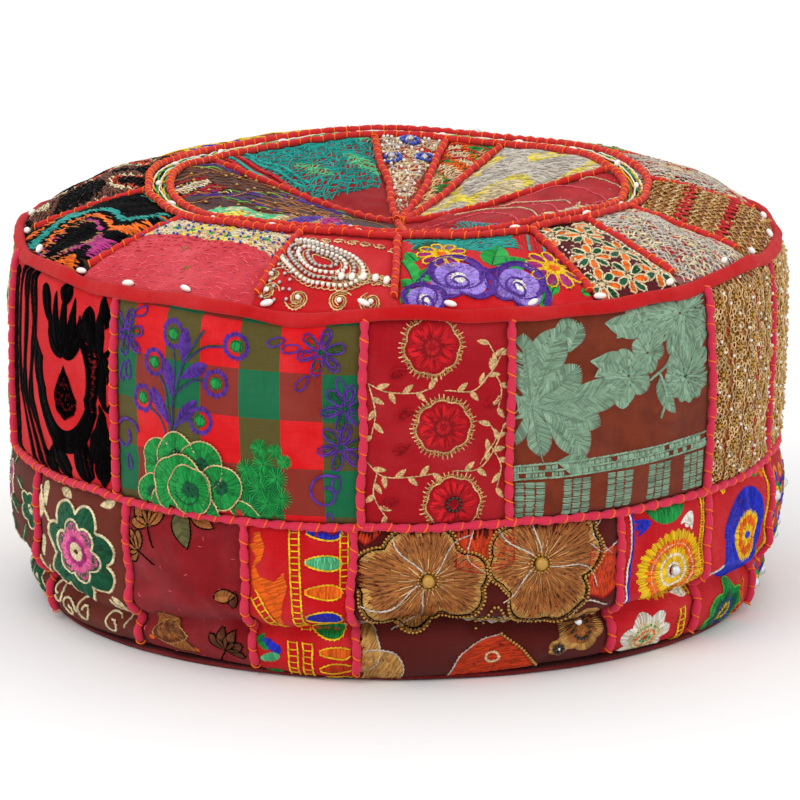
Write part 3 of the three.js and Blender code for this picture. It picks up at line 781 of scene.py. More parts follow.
# Needlework: each patch has its own frame in mm, u across and v up, laid on the cover
class Needlework:
    def __init__(self, patch, seed):
        self.patch = patch
        self.rng = np.random.default_rng(seed)
        self.a, self.b, self.sA, self.sB = patches[patch]
        self.mid = (self.a + self.b) / 2
        self.onTop = patch.startswith(("crown", "centre"))
        self.lower = patch.startswith("lower")
        self.base = float(radiusAt(self.sA)) if self.onTop else coverRadius
        self.start = float(sOfHeight(25)) - 25 if self.lower else self.sA
        self.rise = 0.9 if self.lower else 1.0
        self.level = 0.0   # extra height, for needlework over needlework
        self.width = radians(self.b - self.a) * self.base
        self.height = (self.sB - self.start) / self.rise
        self.threads, self.beads, self.palette = [], {}, {}

    def place(self, uv):
        if not self.onTop:
            return self.mid + np.degrees(uv[..., 0] / self.base), uv[..., 1] * self.rise + self.start
        c, s = towards(self.mid)
        x = (self.base - uv[..., 1]) * s + uv[..., 0] * c
        y = -(self.base - uv[..., 1]) * c + uv[..., 0] * s
        theta = self.mid + wrapped(np.degrees(np.arctan2(x, -y)) - self.mid)
        return theta, sOfRadius(np.hypot(x, y))

    def inside(self, theta, s, margin):
        away = np.minimum(theta - self.a, self.b - theta) * pi / 180 * maximum(radiusAt(s), 1)
        return (away > margin) & (s > self.sA + margin) & (s < self.sB - margin * 0.6)

    def put(self, pts, colour, thick=0.5, lift=None, margin=1.6, shade=None):
        # pts (count, points, 2); every thread gets one of three shades of its colour
        if len(pts) == 0:
            return
        theta, s = self.place(pts)
        keep = self.inside(theta, s, margin).all(axis=1)
        if not keep.any():
            return
        theta, s = theta[keep], s[keep]
        n, k = theta.shape
        if lift is None:
            t = linspace(-1, 1, k)
            lift = 0.5 * (1 - t ** 4) - 0.25
        solid, _ = coverPoint(theta, s, broadcast_to(lift, (n, k)) + self.rng.uniform(0, 0.12, (n, 1)) + self.level)
        shades = self.rng.integers(0, 3, n) if shade is None else full(n, shade)
        index = array([self.palette.setdefault((colour, m), len(self.palette)) for m in range(3)])[shades]
        self.threads.append((solid, full(n, thick), index))

    def across(self, a, b, colour, thick=0.5, longest=8.0, **more):
        # stitches from a to b, the long ones broken into shorter ones
        length = np.linalg.norm(b - a, axis=1)
        parts = maximum(1, np.ceil(length / longest)).astype(int)
        for m in np.unique(parts):
            pick = parts == m
            points = 3 if length[pick].mean() / m < 3.6 else 4
            cuts = np.tile(linspace(0, 1, m + 1), (pick.sum(), 1))
            cuts[:, 1:-1] += self.rng.uniform(-0.3, 0.3, (pick.sum(), m - 1)) / m
            for j in range(m):
                t = cuts[:, j:j + 1] + (cuts[:, j + 1:j + 2] - cuts[:, j:j + 1]) * linspace(0, 1, points)[None, :]
                self.put(a[pick][:, None] * (1 - t[..., None]) + b[pick][:, None] * t[..., None], colour, thick, **more)

    def fill(self, shape, colour, angle=0.0, gap=0.7, thick=0.5, longest=7.0, **more):
        # straight stitches side by side over a closed shape
        c, s = towards(angle)
        turn = array([[c, -s], [s, c]])
        p = asarray(shape, float) @ turn
        q = np.roll(p, -1, 0)
        found = []
        for y in arange(p[:, 1].min() + gap * 0.4, p[:, 1].max(), gap):
            hit = (p[:, 1] > y) != (q[:, 1] > y)
            if hit.any():
                x = np.sort(p[hit, 0] + (y - p[hit, 1]) / (q[hit, 1] - p[hit, 1]) * (q[hit, 0] - p[hit, 0]))
                found += [(x[i], x[i + 1], y) for i in range(0, len(x) - 1, 2) if x[i + 1] - x[i] > 0.5]
        if found:
            f = array(found)
            f[:, :2] += self.rng.uniform(-0.3, 0.3, (len(f), 2))
            self.across(f[:, [0, 2]] @ turn.T, f[:, [1, 2]] @ turn.T, colour, thick, longest, **more)

    def fan(self, c, inner, rim, colours, gap=0.68, thick=0.5, longest=6.0):
        # stitches outwards from a centre; rim gives the radius at each angle, colours go from inside to outside
        c = asarray(c, float)
        test = rim(np.radians(linspace(0, 360, 60)))
        bands = max(len(colours), int(math.ceil((np.max(test) - inner) / longest)))
        for j in range(bands):
            share = (j + 0.6) / bands
            mid = inner + (np.mean(test) - inner) * share
            n = max(5, int(radians(360) * mid / gap))
            phi = np.radians(linspace(0, 360, n, endpoint=False)) + self.rng.uniform(-0.2, 0.2, n) * gap / mid
            r = rim(phi)
            lo = inner + (r - inner) * clip(j / bands + self.rng.uniform(-0.1, 0.04, n) * (j > 0), 0, 1)
            hi = inner + (r - inner) * clip((j + 1) / bands + self.rng.uniform(-0.04, 0.1, n) * (j < bands - 1), 0, 1)
            d = around(phi)
            t = linspace(0, 1, 4)
            pts = c + d[:, None] * (lo[:, None] + (hi - lo)[:, None] * t)[..., None]
            self.put(pts, colours[min(len(colours) - 1, int(j * len(colours) / bands))], thick)

    def trail(self, points, colour, thick=0.4, stitch=2.6, closed=False, slant=0.25, lift=0.45, **more):
        # a line of small overlapping stitches
        path = smoothPath(points, closed, stitch)
        d = unit(np.roll(path, -1, 0) - path if closed else np.gradient(path, axis=0))
        side = joined(-d[:, 1], d[:, 0]) * slant
        nxt = np.roll(path, -1, 0) if closed else path[1:]
        a = path if closed else path[:-1]
        n = len(nxt)
        a2 = a - d[:n] * 0.5 - side[:n]
        b2 = nxt + d[:n] * 0.5 + side[:n]
        self.put(np.stack([a2, (a2 + b2) / 2, b2], 1), colour, thick, array([0.1, lift, 0.1]), **more)

    def edge(self, shape, colour, thick=0.4, stitch=2.6, **more):
        self.trail(shape, colour, thick, stitch, closed=True, **more)

    def loops(self, points, size, colour, gap=None, thick=0.3, closed=False, out=1.0):
        # small rings of thread set along a line
        path = smoothPath(points, closed, gap or size * 1.7)
        d = unit(np.gradient(path, axis=0))
        centre = path + joined(d[:, 1], -d[:, 0]) * size * out
        self.put(centre[:, None] + around(linspace(0, 2 * pi, 8)) * size, colour, thick, full(8, 0.5))

    def leaf(self, base, angle, length, width, colour, edge=None, vein=None, bend=0.0, gap=0.7, blunt=0.8):
        # slanting stitches on both sides of a midrib; edge and vein are colours
        n = max(6, int(length / gap))
        t = linspace(0, 1, n)
        heading = radians(angle) + radians(bend) * (t - 0.5)
        steps = around(heading) * length / (n - 1)
        rib = asarray(base, float) + concatenate([[[0, 0]], np.cumsum(steps[:-1], axis=0)])
        side = joined(-sin(heading), cos(heading))
        half = width / 2 * sin(pi * t ** blunt) ** 0.75
        shift = max(1, int(n * 0.14))
        edges = []
        for sign in (-1, 1):
            rimLine = rib + side * (half * sign)[:, None]
            edges.append(rimLine)
            self.across(rib[:-shift], rimLine[shift:], colour)
        if edge:
            self.edge(np.vstack([edges[0], edges[1][::-1]]), edge, 0.34, 2.2)
        if vein:
            self.trail(rib, vein, 0.3, 2.4)

    def leaves(self, rows, colour, **more):
        for base, angle, length, width, *bend in rows:
            self.leaf(base, angle, length, width, colour, bend=bend[0] if bend else 0.0, **more)

    def trails(self, lines, colour, thick=0.4, **more):
        for line in lines:
            self.trail(line, colour, thick, **more)

    def drop(self, base, angle, length, width, colour, edge=None, ring=None, across=True):
        # a drop, pointed at its base, filled across or along
        t = linspace(0, 1, 26)
        half = width / 2 * np.sqrt(clip(t, 0, 1)) * np.sqrt(clip(1 - t ** 3.2, 0, 1)) * 1.12
        c, s = towards(angle)
        turn = array([[c, s], [-s, c]])
        shape = np.vstack([joined(t * length, half), joined(t * length, -half)[::-1]]) @ turn
        shape = shape + asarray(base, float)
        if colour:
            self.fill(shape, colour, angle + (90 if across else 0))
        if edge:
            self.edge(shape[1:-1], edge, 0.45, 2.4)
        if ring:
            self.edge((shape[1:-1] - shape.mean(0)) * 0.62 + shape.mean(0), ring, 0.35, 2.0)
        return shape

    def ring(self, c, r0, r1, colour, squash=1.0, gap=0.7, thick=0.5, ragged=0.0):
        n = int(2 * pi * r1 / gap)
        phi = linspace(0, 2 * pi, n, endpoint=False)
        d = around(phi, squash)
        out = r1 + self.rng.uniform(-ragged, ragged, n)
        self.across(asarray(c) + d * r0, asarray(c) + d * out[:, None], colour, thick)

    def disc(self, c, r, colour, angle=90, squash=1.0, **more):
        self.fill(circle(c, r, squash), colour, angle, **more)

    def bead(self, uv, kind, size=(0.9, 0.9), heading=None, lift=0.55):
        uv = np.atleast_2d(asarray(uv, float))
        heading = np.zeros_like(uv) + (0, 1) if heading is None else broadcast_to(heading, uv.shape)
        theta, s = self.place(uv)
        keep = self.inside(theta, s, 2.2) & (s > 12)
        if keep.any():
            self.beads.setdefault(kind, []).append((uv[keep], heading[keep], size, lift))

    def beadLine(self, points, kind, size=0.9, gap=2.0, closed=False, lift=0.6):
        path = smoothPath(points, closed, gap)
        self.bead(path, kind, (size, size * 0.85), np.gradient(path, axis=0), lift)

    def beadRing(self, c, r, kind, size, gap=2.0, lift=0.9):
        self.beadLine(circle(c, r), kind, size, gap, True, lift)

    def spread(self, gap, jitter=0.35, box=None):
        # points all over the patch, or over a box (u0, u1, v0, v1)
        u0, u1, v0, v1 = box or (-self.width / 2, self.width / 2, 0, self.height)
        u, v = meshgrid(arange(float(u0), u1, gap), arange(float(v0), v1, gap))
        u[1::2] += gap / 2
        pts = joined(u.ravel(), v.ravel())
        return pts + self.rng.uniform(-jitter, jitter, pts.shape) * gap

    def strokes(self, pts, angle, length, colour, thick=0.42, spread=0.0, **more):
        angle = np.radians(angle) + self.rng.uniform(-1, 1, len(pts)) * radians(spread)
        d = joined(cos(angle), sin(angle)) * np.reshape(length, (-1, 1)) / 2
        self.across(pts - d, pts + d, colour, thick, longest=30, **more)

    def finish(self):
        if self.threads:
            materials = [threadMaterial(c, m) for c, m in self.palette]
            sewn(layThreads(self.patch + "_needlework", self.threads, materials, sides=3), self.patch)
        for kind, groups in self.beads.items():
            points, headings, ups, sizes = [], [], [], []
            for uv, heading, size, lift in groups:
                here, up = coverPoint(*self.place(uv), lift + size[0] * 0.4)
                there, _ = coverPoint(*self.place(uv + unit(heading)), lift + size[0] * 0.4)
                points.append(here)
                headings.append(there - here)
                ups.append(up)
                sizes.append(broadcast_to(size, (len(here), 2)))
            values = [concatenate(part) for part in (points, headings, ups, sizes)]
            sewn(sewBeads(f"{self.patch}_beads_{kind}", *values, beadMaterial(kind), 6, 5), "beads")


def smoothPath(points, closed, step):
    p = asarray(points, float)
    if closed:
        p = np.vstack([p, p[:1]])
    if len(p) > 2 and not closed and len(p) < 12:
        p = smoothLine(p, step * 0.5)
    d = concatenate([[0], np.cumsum(np.linalg.norm(np.diff(p, axis=0), axis=1))])
    n = max(2, int(d[-1] / step) + 1)
    t = linspace(0, d[-1], n, endpoint=not closed)
    return joined(np.interp(t, d, p[:, 0]), np.interp(t, d, p[:, 1]))


def circle(c, r, squash=1.0, n=28):
    phi = linspace(0, 2 * pi, n, endpoint=False)
    return asarray(c, float) + joined(cos(phi) * r * squash, sin(phi) * r)


def lobes(radius, count, depth=0.25, turn=0.0, power=1.0):
    # a rim with round lobes, for Needlework.fan
    return lambda phi: radius * (1 - depth + depth * np.abs(cos(count / 2 * (phi - radians(turn)))) ** power)


def ringed(rim, c, n=60):
    phi = linspace(0, 2 * pi, n, endpoint=False)
    return asarray(c, float) + around(phi) * rim(phi)[:, None]


beadLooks = {  # colour, metallic, roughness
    "gold": ("b98f4a", 0.95, 0.25), "pearl": ("f2ece0", 0.0, 0.18), "silver": ("bfb9b4", 0.9, 0.25),
    "blue": ("2447b8", 0.3, 0.2), "black": ("1a1414", 0.2, 0.2), "white": ("f3efe6", 0.0, 0.45),
    "mirror": ("d8dade", 1.0, 0.06), "amber": ("b98a2a", 0.2, 0.2),
}
beadMaterials = {}


def beadMaterial(kind):
    if kind not in beadMaterials:
        colour, metal, rough = beadLooks[kind]
        material, tree, shader = newMaterial(kind + "Bead")
        grain = noiseNode(tree, objectPlace(tree), 700, 2)
        feed(tree, shader, {"Base Color": srgb(colour), "Metallic": metal, "Coat Weight": 0.4 if metal < 0.5 else 0.0,
                            "Roughness": mathNode(tree, "MULTIPLY_ADD", grain, 0.2, rough)})
        beadMaterials[kind] = material
    return beadMaterials[kind]
# Cloths under the needlework
def fineChecks(tree, uv, size, phase=0.0, channel=0):
    share = mathNode(tree, "FRACT", mathNode(tree, "MULTIPLY_ADD", apart(tree, uv)[channel], 1 / (size * 2 * mm), phase))
    return mathNode(tree, "GREATER_THAN", share, 0.5)


def plaid(tree, uv, ground):
    # woven checks: where a red band crosses a green one the threads mix to brown
    across = fineChecks(tree, uv, 21.5, 0.605, 0)
    upward = fineChecks(tree, uv, 24.5, 0.388, 1)
    both = mathNode(tree, "MULTIPLY", across, upward)
    either = mathNode(tree, "MAXIMUM", across, upward)
    one = mixColour(tree, across, srgb("8e2e22"), srgb("5a5022"))
    mixed = mixColour(tree, either, srgb("e0141a"), one)
    return mixColour(tree, both, mixed, srgb("116a42"))


def bandsOf(colours, size, wander=0.0):
    # plain woven stripes in turn
    def paint(tree, uv, ground):
        along = apart(tree, uv)[0]
        if wander:
            along = mathNode(tree, "ADD", along, mathNode(tree, "MULTIPLY", noiseNode(tree, uv, 60), wander * mm))
        share = mathNode(tree, "FRACT", mathNode(tree, "DIVIDE", along, size * mm))
        colour = srgb(colours[0])
        for i, code in enumerate(colours[1:]):
            step = mathNode(tree, "GREATER_THAN", share, (i + 1) / len(colours))
            colour = mixColour(tree, step, colour, srgb(code))
        return colour
    return paint


def mottled(second, scale=90, edge=0.5, soft=0.12, stretchBy=(1, 1)):
    # a second colour showing through in patches
    def paint(tree, uv, ground):
        value = noiseNode(tree, stretch(tree, uv, *stretchBy), scale, 4, 0.6, 0.4)
        mask = mathNode(tree, "DIVIDE", mathNode(tree, "SUBTRACT", value, edge - soft), 2 * soft, clamp=True)
        return mixColour(tree, mask, ground, srgb(second))
    return paint


def printed(colour, cell=11.0, dot=0.32):
    # a small block-printed rosette, repeated
    def paint(tree, uv, ground):
        cells = addNode(tree, "ShaderNodeTexVoronoi", {"Scale": 1000 / cell, "Randomness": 0.12, "Vector": uv})
        distance = cells.outputs["Distance"]
        mask = mathNode(tree, "LESS_THAN", distance, dot)
        core = mathNode(tree, "GREATER_THAN", distance, dot * 0.45)
        return mixColour(tree, mathNode(tree, "MULTIPLY", mask, core), ground, srgb(colour))
    return paint


cloths = [  # ground colour, pattern, thread pitch in mm, then fading, bump and sheen where they differ
    # upper row
    ("d0141c", None, 1.0), ("c81c1c", plaid, 0.55, 0.3), ("ac0c1a", None, 0.5),
    ("7e3218", mottled("6c2812", 60), 0.7), ("b01a1c", mottled("9a6d32", 160, 0.45), 0.8),
    ("a2181c", mottled("9a6d32", 140, 0.42), 0.8), ("12443c", None, 0.7),
    ("b3122a", bandsOf(("b3122a", "b3122a", "7a0f22"), 21), 0.6), ("1d2350", printed("b98a3a", 13), 0.7),
    ("c25a16", None, 0.9),
    # lower row
    ("6a2412", None, 0.7), ("981a22", mottled("7d141c", 50, 0.52, 0.2), 0.6, 0.7), ("c8121a", None, 0.8),
    ("560f08", None, 0.6), ("c5101c", None, 0.8), ("c5101c", None, 0.8), ("b4161e", printed("d98a1e", 12), 0.8),
    ("31164a", None, 0.7), ("b1431a", bandsOf(("b1431a", "8c2c14", "c8791e", "8c2c14"), 26), 0.8),
    ("8e1430", None, 0.6), ("1a5a34", printed("c9a542", 10), 0.7), ("5c2012", None, 0.7),
    # crown row
    ("1a1210", mottled("3a1512", 120), 0.8), ("ee4a56", mottled("dc3846", 80, 0.55, 0.2, (1, 2.4)), 1.1, 0.5, 0.9),
    ("c9141c", None, 0.7), ("d4101a", None, 0.5), ("5a0c16", None, 0.6), ("a91c22", mottled("8d8580", 220, 0.5), 0.7),
    ("a0713a", mottled("7a3018", 70, 0.6), 0.8), ("5c0f22", None, 0.7),
    ("b6a57c", mottled("4a8a58", 90, 0.58, 0.05), 0.8), ("17425a", None, 0.7),
    ("b8501a", bandsOf(("b8501a", "96151c"), 17, 6), 0.8), ("3a1a12", mottled("1c0f0e", 70), 0.8),
    # centre row
    ("c00e1a", mottled("9a0a14", 50, 0.5, 0.25), 0.6), ("c8baa0", mottled("a89a88", 180), 0.7), ("a8301c", None, 0.7),
    ("a33a24", None, 0.7), ("9c1418", None, 0.7), ("4a2216", mottled("3a1a2c", 34, 0.52, 0.16), 0.6, 0.35, 0.5, 0.15),
]

for (patch, span), look in zip(patches.items(), cloths):
    sewn(clothGrid(patch + "_cloth", *span, clothMaterial(patch + "Cotton", *look)), patch, patch)
print("cloths sewn:", len(patches))
# Motifs used on more than one patch
def eyeFlower(work, c, r, rimColour, core):
    work.ring(c, r * 0.72, r, rimColour, gap=0.75, ragged=0.7)
    work.disc(c, r * 0.44, core, 80)
    work.edge(circle(c, r * 0.4), "deepGreen", 0.3, 2.0)


def slope(d):
    return degrees(math.atan2(d[1], d[0]))


def paddle(work, base, tip, width, colour):
    d = array(tip, float) - base
    work.leaf(base, slope(d), float(np.hypot(*d)), width, colour, blunt=1.5)


def starBurst(work, c, r, colour, count=22):
    d = around(linspace(0, 2 * pi, count, endpoint=False))
    work.across(asarray(c) + d * r * 0.1, asarray(c) + d * r, colour, 0.4)


def curlLine(c, r, turns=1.3, start=0, squash=1.0, n=26):
    t = linspace(0, 1, n)
    phi = radians(start) + t * turns * 2 * pi
    rad = r * (1 - 0.72 * t)
    return asarray(c, float) + joined(cos(phi) * rad * squash, sin(phi) * rad)


def lobedBloom(work, c, rim, colours, edge=None, edgeThick=0.4, inner=2.0, gap=0.75):
    work.fan(c, inner, rim, colours, gap)
    if edge:
        work.edge(ringed(rim, c), edge, edgeThick, 2.2)


def ladder(work, a, b, width, colour, gap=3.2):
    a, b = asarray(a, float), asarray(b, float)
    d = (b - a) / np.linalg.norm(b - a)
    side = array([-d[1], d[0]]) * width / 2
    n = max(2, int(np.linalg.norm(b - a) / gap))
    t = linspace(0, 1, n)[:, None]
    rungs = a + (b - a) * t
    work.across(rungs - side, rungs + side, colour, 0.45)
    for sign in (-1, 1):
        work.trail([a + side * sign, (a + b) / 2 + side * sign, b + side * sign], colour, 0.45)


def sprig(work, points, stem, leafColour, size=5.5, gap=7.0, thick=0.34):
    # a stem with pairs of little leaves
    path = smoothPath(points, False, gap)
    work.trail(points, stem, thick, 2.2)
    for i in range(1, len(path)):
        a = slope(path[i] - path[i - 1]) + (48 if i % 2 else -48)
        work.leaf(path[i], a, size, size * 0.42, leafColour, gap=0.6)


def paisleyShape(c, size, angle, flip=1):
    # a fat drop whose tip curls to one side
    t = linspace(0, 1, 40)
    phi = t * 2 * pi
    rad = 0.5 + 0.32 * exp(-((np.minimum(t, 1 - t)) / 0.09) ** 2)
    x = sin(phi) * rad * 0.62 + flip * 0.22 * exp(-((np.minimum(t, 1 - t)) / 0.1) ** 2)
    y = cos(phi) * rad
    ca, sa = towards(angle)
    return asarray(c, float) + joined(x * ca - y * sa, x * sa + y * ca) * size


def shrink(shape, share):
    return (shape - shape.mean(0)) * share + shape.mean(0)


def zariField(work, colours, gap=2.6, amp=2.0, wave=9.0, upright=True):
    # rows of couched metal thread, each a wavering line
    u0, u1, v0, v1 = -work.width / 2, work.width / 2, 0, work.height
    lo, hi, s0, s1 = (u0, u1, v0, v1) if upright else (v0, v1, u0, u1)
    for i, x in enumerate(arange(lo, hi, gap)):
        s = linspace(s0, s1, int((s1 - s0) / 1.4))
        w = amp * sin(2 * pi * s / wave + (i % 2) * pi) * 0.5 + work.rng.normal(0, 0.25, len(s))
        line = np.stack([x + w, s] if upright else [s, x + w], -1)
        work.trail(line, colours[i % len(colours)], 0.5, 2.3)


def nap(work, colours, shares, gap=2.2, length=(5, 12), angle=0, spread=18, scale=16.0, thick=0.5, box=None):
    # thick feathery strokes in drifting clumps of colour
    pts = work.spread(gap, box=box)
    g = np.random.default_rng(len(colours) * 7 + int(work.width))
    drift = sum(sin(pts @ g.normal(size=2) / scale * 2 + g.uniform(0, 6)) for _ in range(5))
    rank = drift.argsort().argsort() / len(pts)
    cut = np.cumsum((0,) + shares)
    for i, colour in enumerate(colours):
        pick = (rank >= cut[i]) & (rank < cut[i + 1] + (i == len(colours) - 1))
        if pick.any():
            work.strokes(pts[pick], angle, work.rng.uniform(*length, pick.sum()), colour, thick, spread)


def redBlackPanel(work):
    black = "black"
    w = work.width / 2
    for v in arange(4, 104, 12.5):
        c = (-w + 9, v)
        work.ring(c, 2.2, 6.8, black, squash=0.85, ragged=0.4)
        work.disc(c, 1.2, black)
        work.fill(circle((-w + 9, v + 6.2), 2.8, 2.2), black)
    v = linspace(0, 103, 150)
    for x, wide, bend, ph in ((-w + 19, 6.5, 1.2, 0), (-w + 28.5, 8.5, 1.8, 1.3), (-w + 39.5, 9.0, 2.4, 2.1)):
        mid = x + bend * sin(v / 13 + ph) + maximum(0, 36 - v) * 0.5
        half = wide / 2 * (0.9 + 0.25 * sin(v / 6 + ph) * sin(v / 23))
        work.across(joined(mid - half, v), joined(mid + half, v + 1), black)
    # a thick hook around a drop, with a plume above
    c = array((17, 46))
    phi = linspace(radians(-215), radians(66), 210)
    d = joined(cos(phi) * 0.85, sin(phi))
    grow = 1 + 0.75 * maximum(0, sin(phi))[:, None]
    work.across(c + d * 19 * grow, c + d * 31 * grow, black)
    drop = array(((0, 20), (7, 9), (13, -4), (11, -15), (0, -21), (-11, -15), (-13, -4), (-7, 9))) * 0.72
    work.fill(smoothPath(drop, True, 1.5) + c + (0, 1), black, 90)
    for a, length, wide, turn in ((90, 34, 7, 0), (75, 34, 7, 34), (105, 34, 7, -34), (60, 29, 7, 56), (120, 29, 7, -56), (44, 20, 6, 70), (136, 20, 6, -70)):
        work.leaf(c + (0, 20), a, length, wide, black, bend=turn)
    for x, y, a, length, wide in ((34, 0, 100, 30, 16), (47, 0, 92, 46, 13), (20, 0, 128, 26, 13), (51, 42, 94, 34, 12),
                                  (50, 70, 92, 34, 13), (8, 0, 140, 20, 10), (38, 96, -80, 22, 11), (-4, 100, -70, 20, 10),
                                  (18, 104, -90, 12, 12), (40, 14, 70, 26, 14), (-2, 0, 70, 18, 9)):
        work.leaf((x, y), a, length, wide, black, bend=14)


def plaidPanel(work):
    base = array((-33.0, 33.0))
    spine = array((base, (-30, 48), (-27, 64), (-21, 80), (-10, 96)))
    for side in (0, 0.9):
        work.trail(spine + (side, 0), "deepGreen" if side else "purple", 0.3, 2.0)
    for start, mid, e in ((base, (-38, 47), (-50, 56)), ((-31, 45), (-33, 62), (-41, 76)), ((-29, 55), (-27, 74), (-28, 92)),
                          ((-22, 78), (-10, 87), (8, 90)), ((-27, 62), (-16, 70), (-3, 70)), ((-31, 40), (-24, 48), (-12, 50))):
        e = array(e)
        stop = e + (array(mid) - e) * 0.4
        for k, colour in enumerate(("purple", "deepGreen")):
            work.trail(array((start, mid, stop)) + (0, 0.8 * k), colour, 0.3, 2.0)
        eyeFlower(work, e, 7.2, "purple", "green")
    for a, b in (((-29, 60), (-33, 79)), ((-24, 70), (-8, 79)), ((-31, 44), (-43, 63)), ((-29, 44), (-14, 60)),
                 ((-22, 78), (-20, 96))):
        paddle(work, a, b, 7.0, "purple")
    # the green rose: outer petals first, each further one lying over the last
    petals = (((-38, 24), 13, 118), ((-27, 29), 13, 88), ((-12, 27), 13, 62), ((-1, 17), 12, 20), ((-43, 8), 10, 185),
              ((-33, 1), 12, 240), ((-14, 1), 12, -70))
    for i, (c, r, a) in enumerate(petals + (((-24, 15), 17, 150), ((-18, 14), 13, 40))):
        work.level = 0.35 * i
        rim = lobes(r, 3 if i < 7 else 5, 0.1, a)
        work.fan(c, 0.6, rim, ("deepGreen", "green", "green"), 0.62)
        work.edge(ringed(rim, c), "paleGold", 0.36, 2.0, lift=0.7)
    for k in range(4):
        work.trail(curlLine((-18, 14), 9.5 - 2.2 * k, 0.7, 200 + k * 60), "deepGreen", 0.4, lift=0.8)
    work.level = 0
    work.leaf((3, 9), -28, 20, 11, "green", edge="paleGold")
    for c, r in (((20, 18), 8), ((13, 27), 6), ((22, 31), 6), ((29, 24), 6), ((31, 14), 6), ((27, 5), 6), ((14, 8), 7),
                 ((20, 39), 5), ((33, 33), 4), ((11, 18), 6), ((24, 11), 7), ((20, 24), 7), ((28, 38), 4), ((17, 3), 5)):
        starBurst(work, c, r, "green")
    for c in ((-61, 88), (52, 90), (62, 42), (64, 62)):
        for a in range(0, 360, 60):
            tip = towards(a + 14)
            loop = work.drop(array(c) + tip * 1.5, a + 14, 11.0, 6.4, None, "purple")
            work.edge(shrink(loop[1:-1], 0.55), "purple" if a % 120 else "deepGreen", 0.4, 2.0)
        work.disc(c, 2.0, "deepGreen")
    for c, a in (((-62, 74), -80), ((46, 78), 230), ((60, 78), -70), ((42, 92), 190), ((-66, 62), 80), ((60, 28), -100),
                 ((34, 96), 200), ((-56, 98), 20)):
        work.drop(c, a, 10, 5.5, None, "purple")
    for c, start in (((54, 18), 60), ((-64, 34), 20)):
        work.trail(curlLine(c, 10, 1.1, start), "purple", 0.75, 2.0)
        work.drop(array(c) + (1, -10), -80, 8, 5, None, "purple")


def vinePanel(work):
    for i, (c, r) in enumerate((((-3, 93), 12), ((3, 52), 12), ((8, 12), 12))):
        work.fan(c, 2.0, lobes(r, 8, 0.36, 9, 0.6), ("red", "scarlet"), 0.6)
        work.level = 0.4
        for a in range(9, 369, 45):
            d = towards(a)
            work.trail((array(c) + d * 4, array(c) + d * (r - 2)), "crimson", 0.35, 2.0, shade=0)
        work.edge(circle(c, 4.4), "crimson", 0.6, 2.0, shade=0)
        work.level = 0
        if i == 2:
            work.beadRing(c, 3.4, "black", 1.0, 2.0, lift=1.0)
        rim = ringed(lobes(r + 2.2, 8, 0.1, 9), c, 44)
        work.edge(rim, "paleGold", 0.35, 1.8)
        d = (rim - c) / np.linalg.norm(rim - c, axis=1, keepdims=True)
        work.across(rim, rim + d * work.rng.uniform(2.2, 3.6, (len(rim), 1)), "paleGold", 0.4)
        work.loops(circle(c, r + 1.6, n=60), 0.9, "gold", 2.5, 0.26, closed=True, out=1.0)
    for pts in (((-36, 76), (-26, 71), (-12, 70), (-4, 72)), ((4, 71), (18, 70), (27, 78), (33, 88)),
                ((-36, 36), (-28, 28), (-14, 27), (-2, 28)), ((8, 29), (20, 29), (28, 36), (34, 50)),
                ((30, 78), (33, 70), (31, 60)), ((28, 40), (33, 30), (31, 18)), ((-30, 30), (-32, 18), (-26, 6)),
                ((-34, 74), (-31, 60), (-33, 48)), ((24, 74), (30, 84), (26, 94)), ((22, 32), (30, 44), (27, 52))):
        sprig(work, pts, "paleGold", "paleGold", 6.2, 6.0)
    for c in ((-24, 79), (-22, 40), (24, 62), (-28, 12), (-20, 58)):
        work.leaf(c, 20, 9, 5, "crimson", edge="crimson")


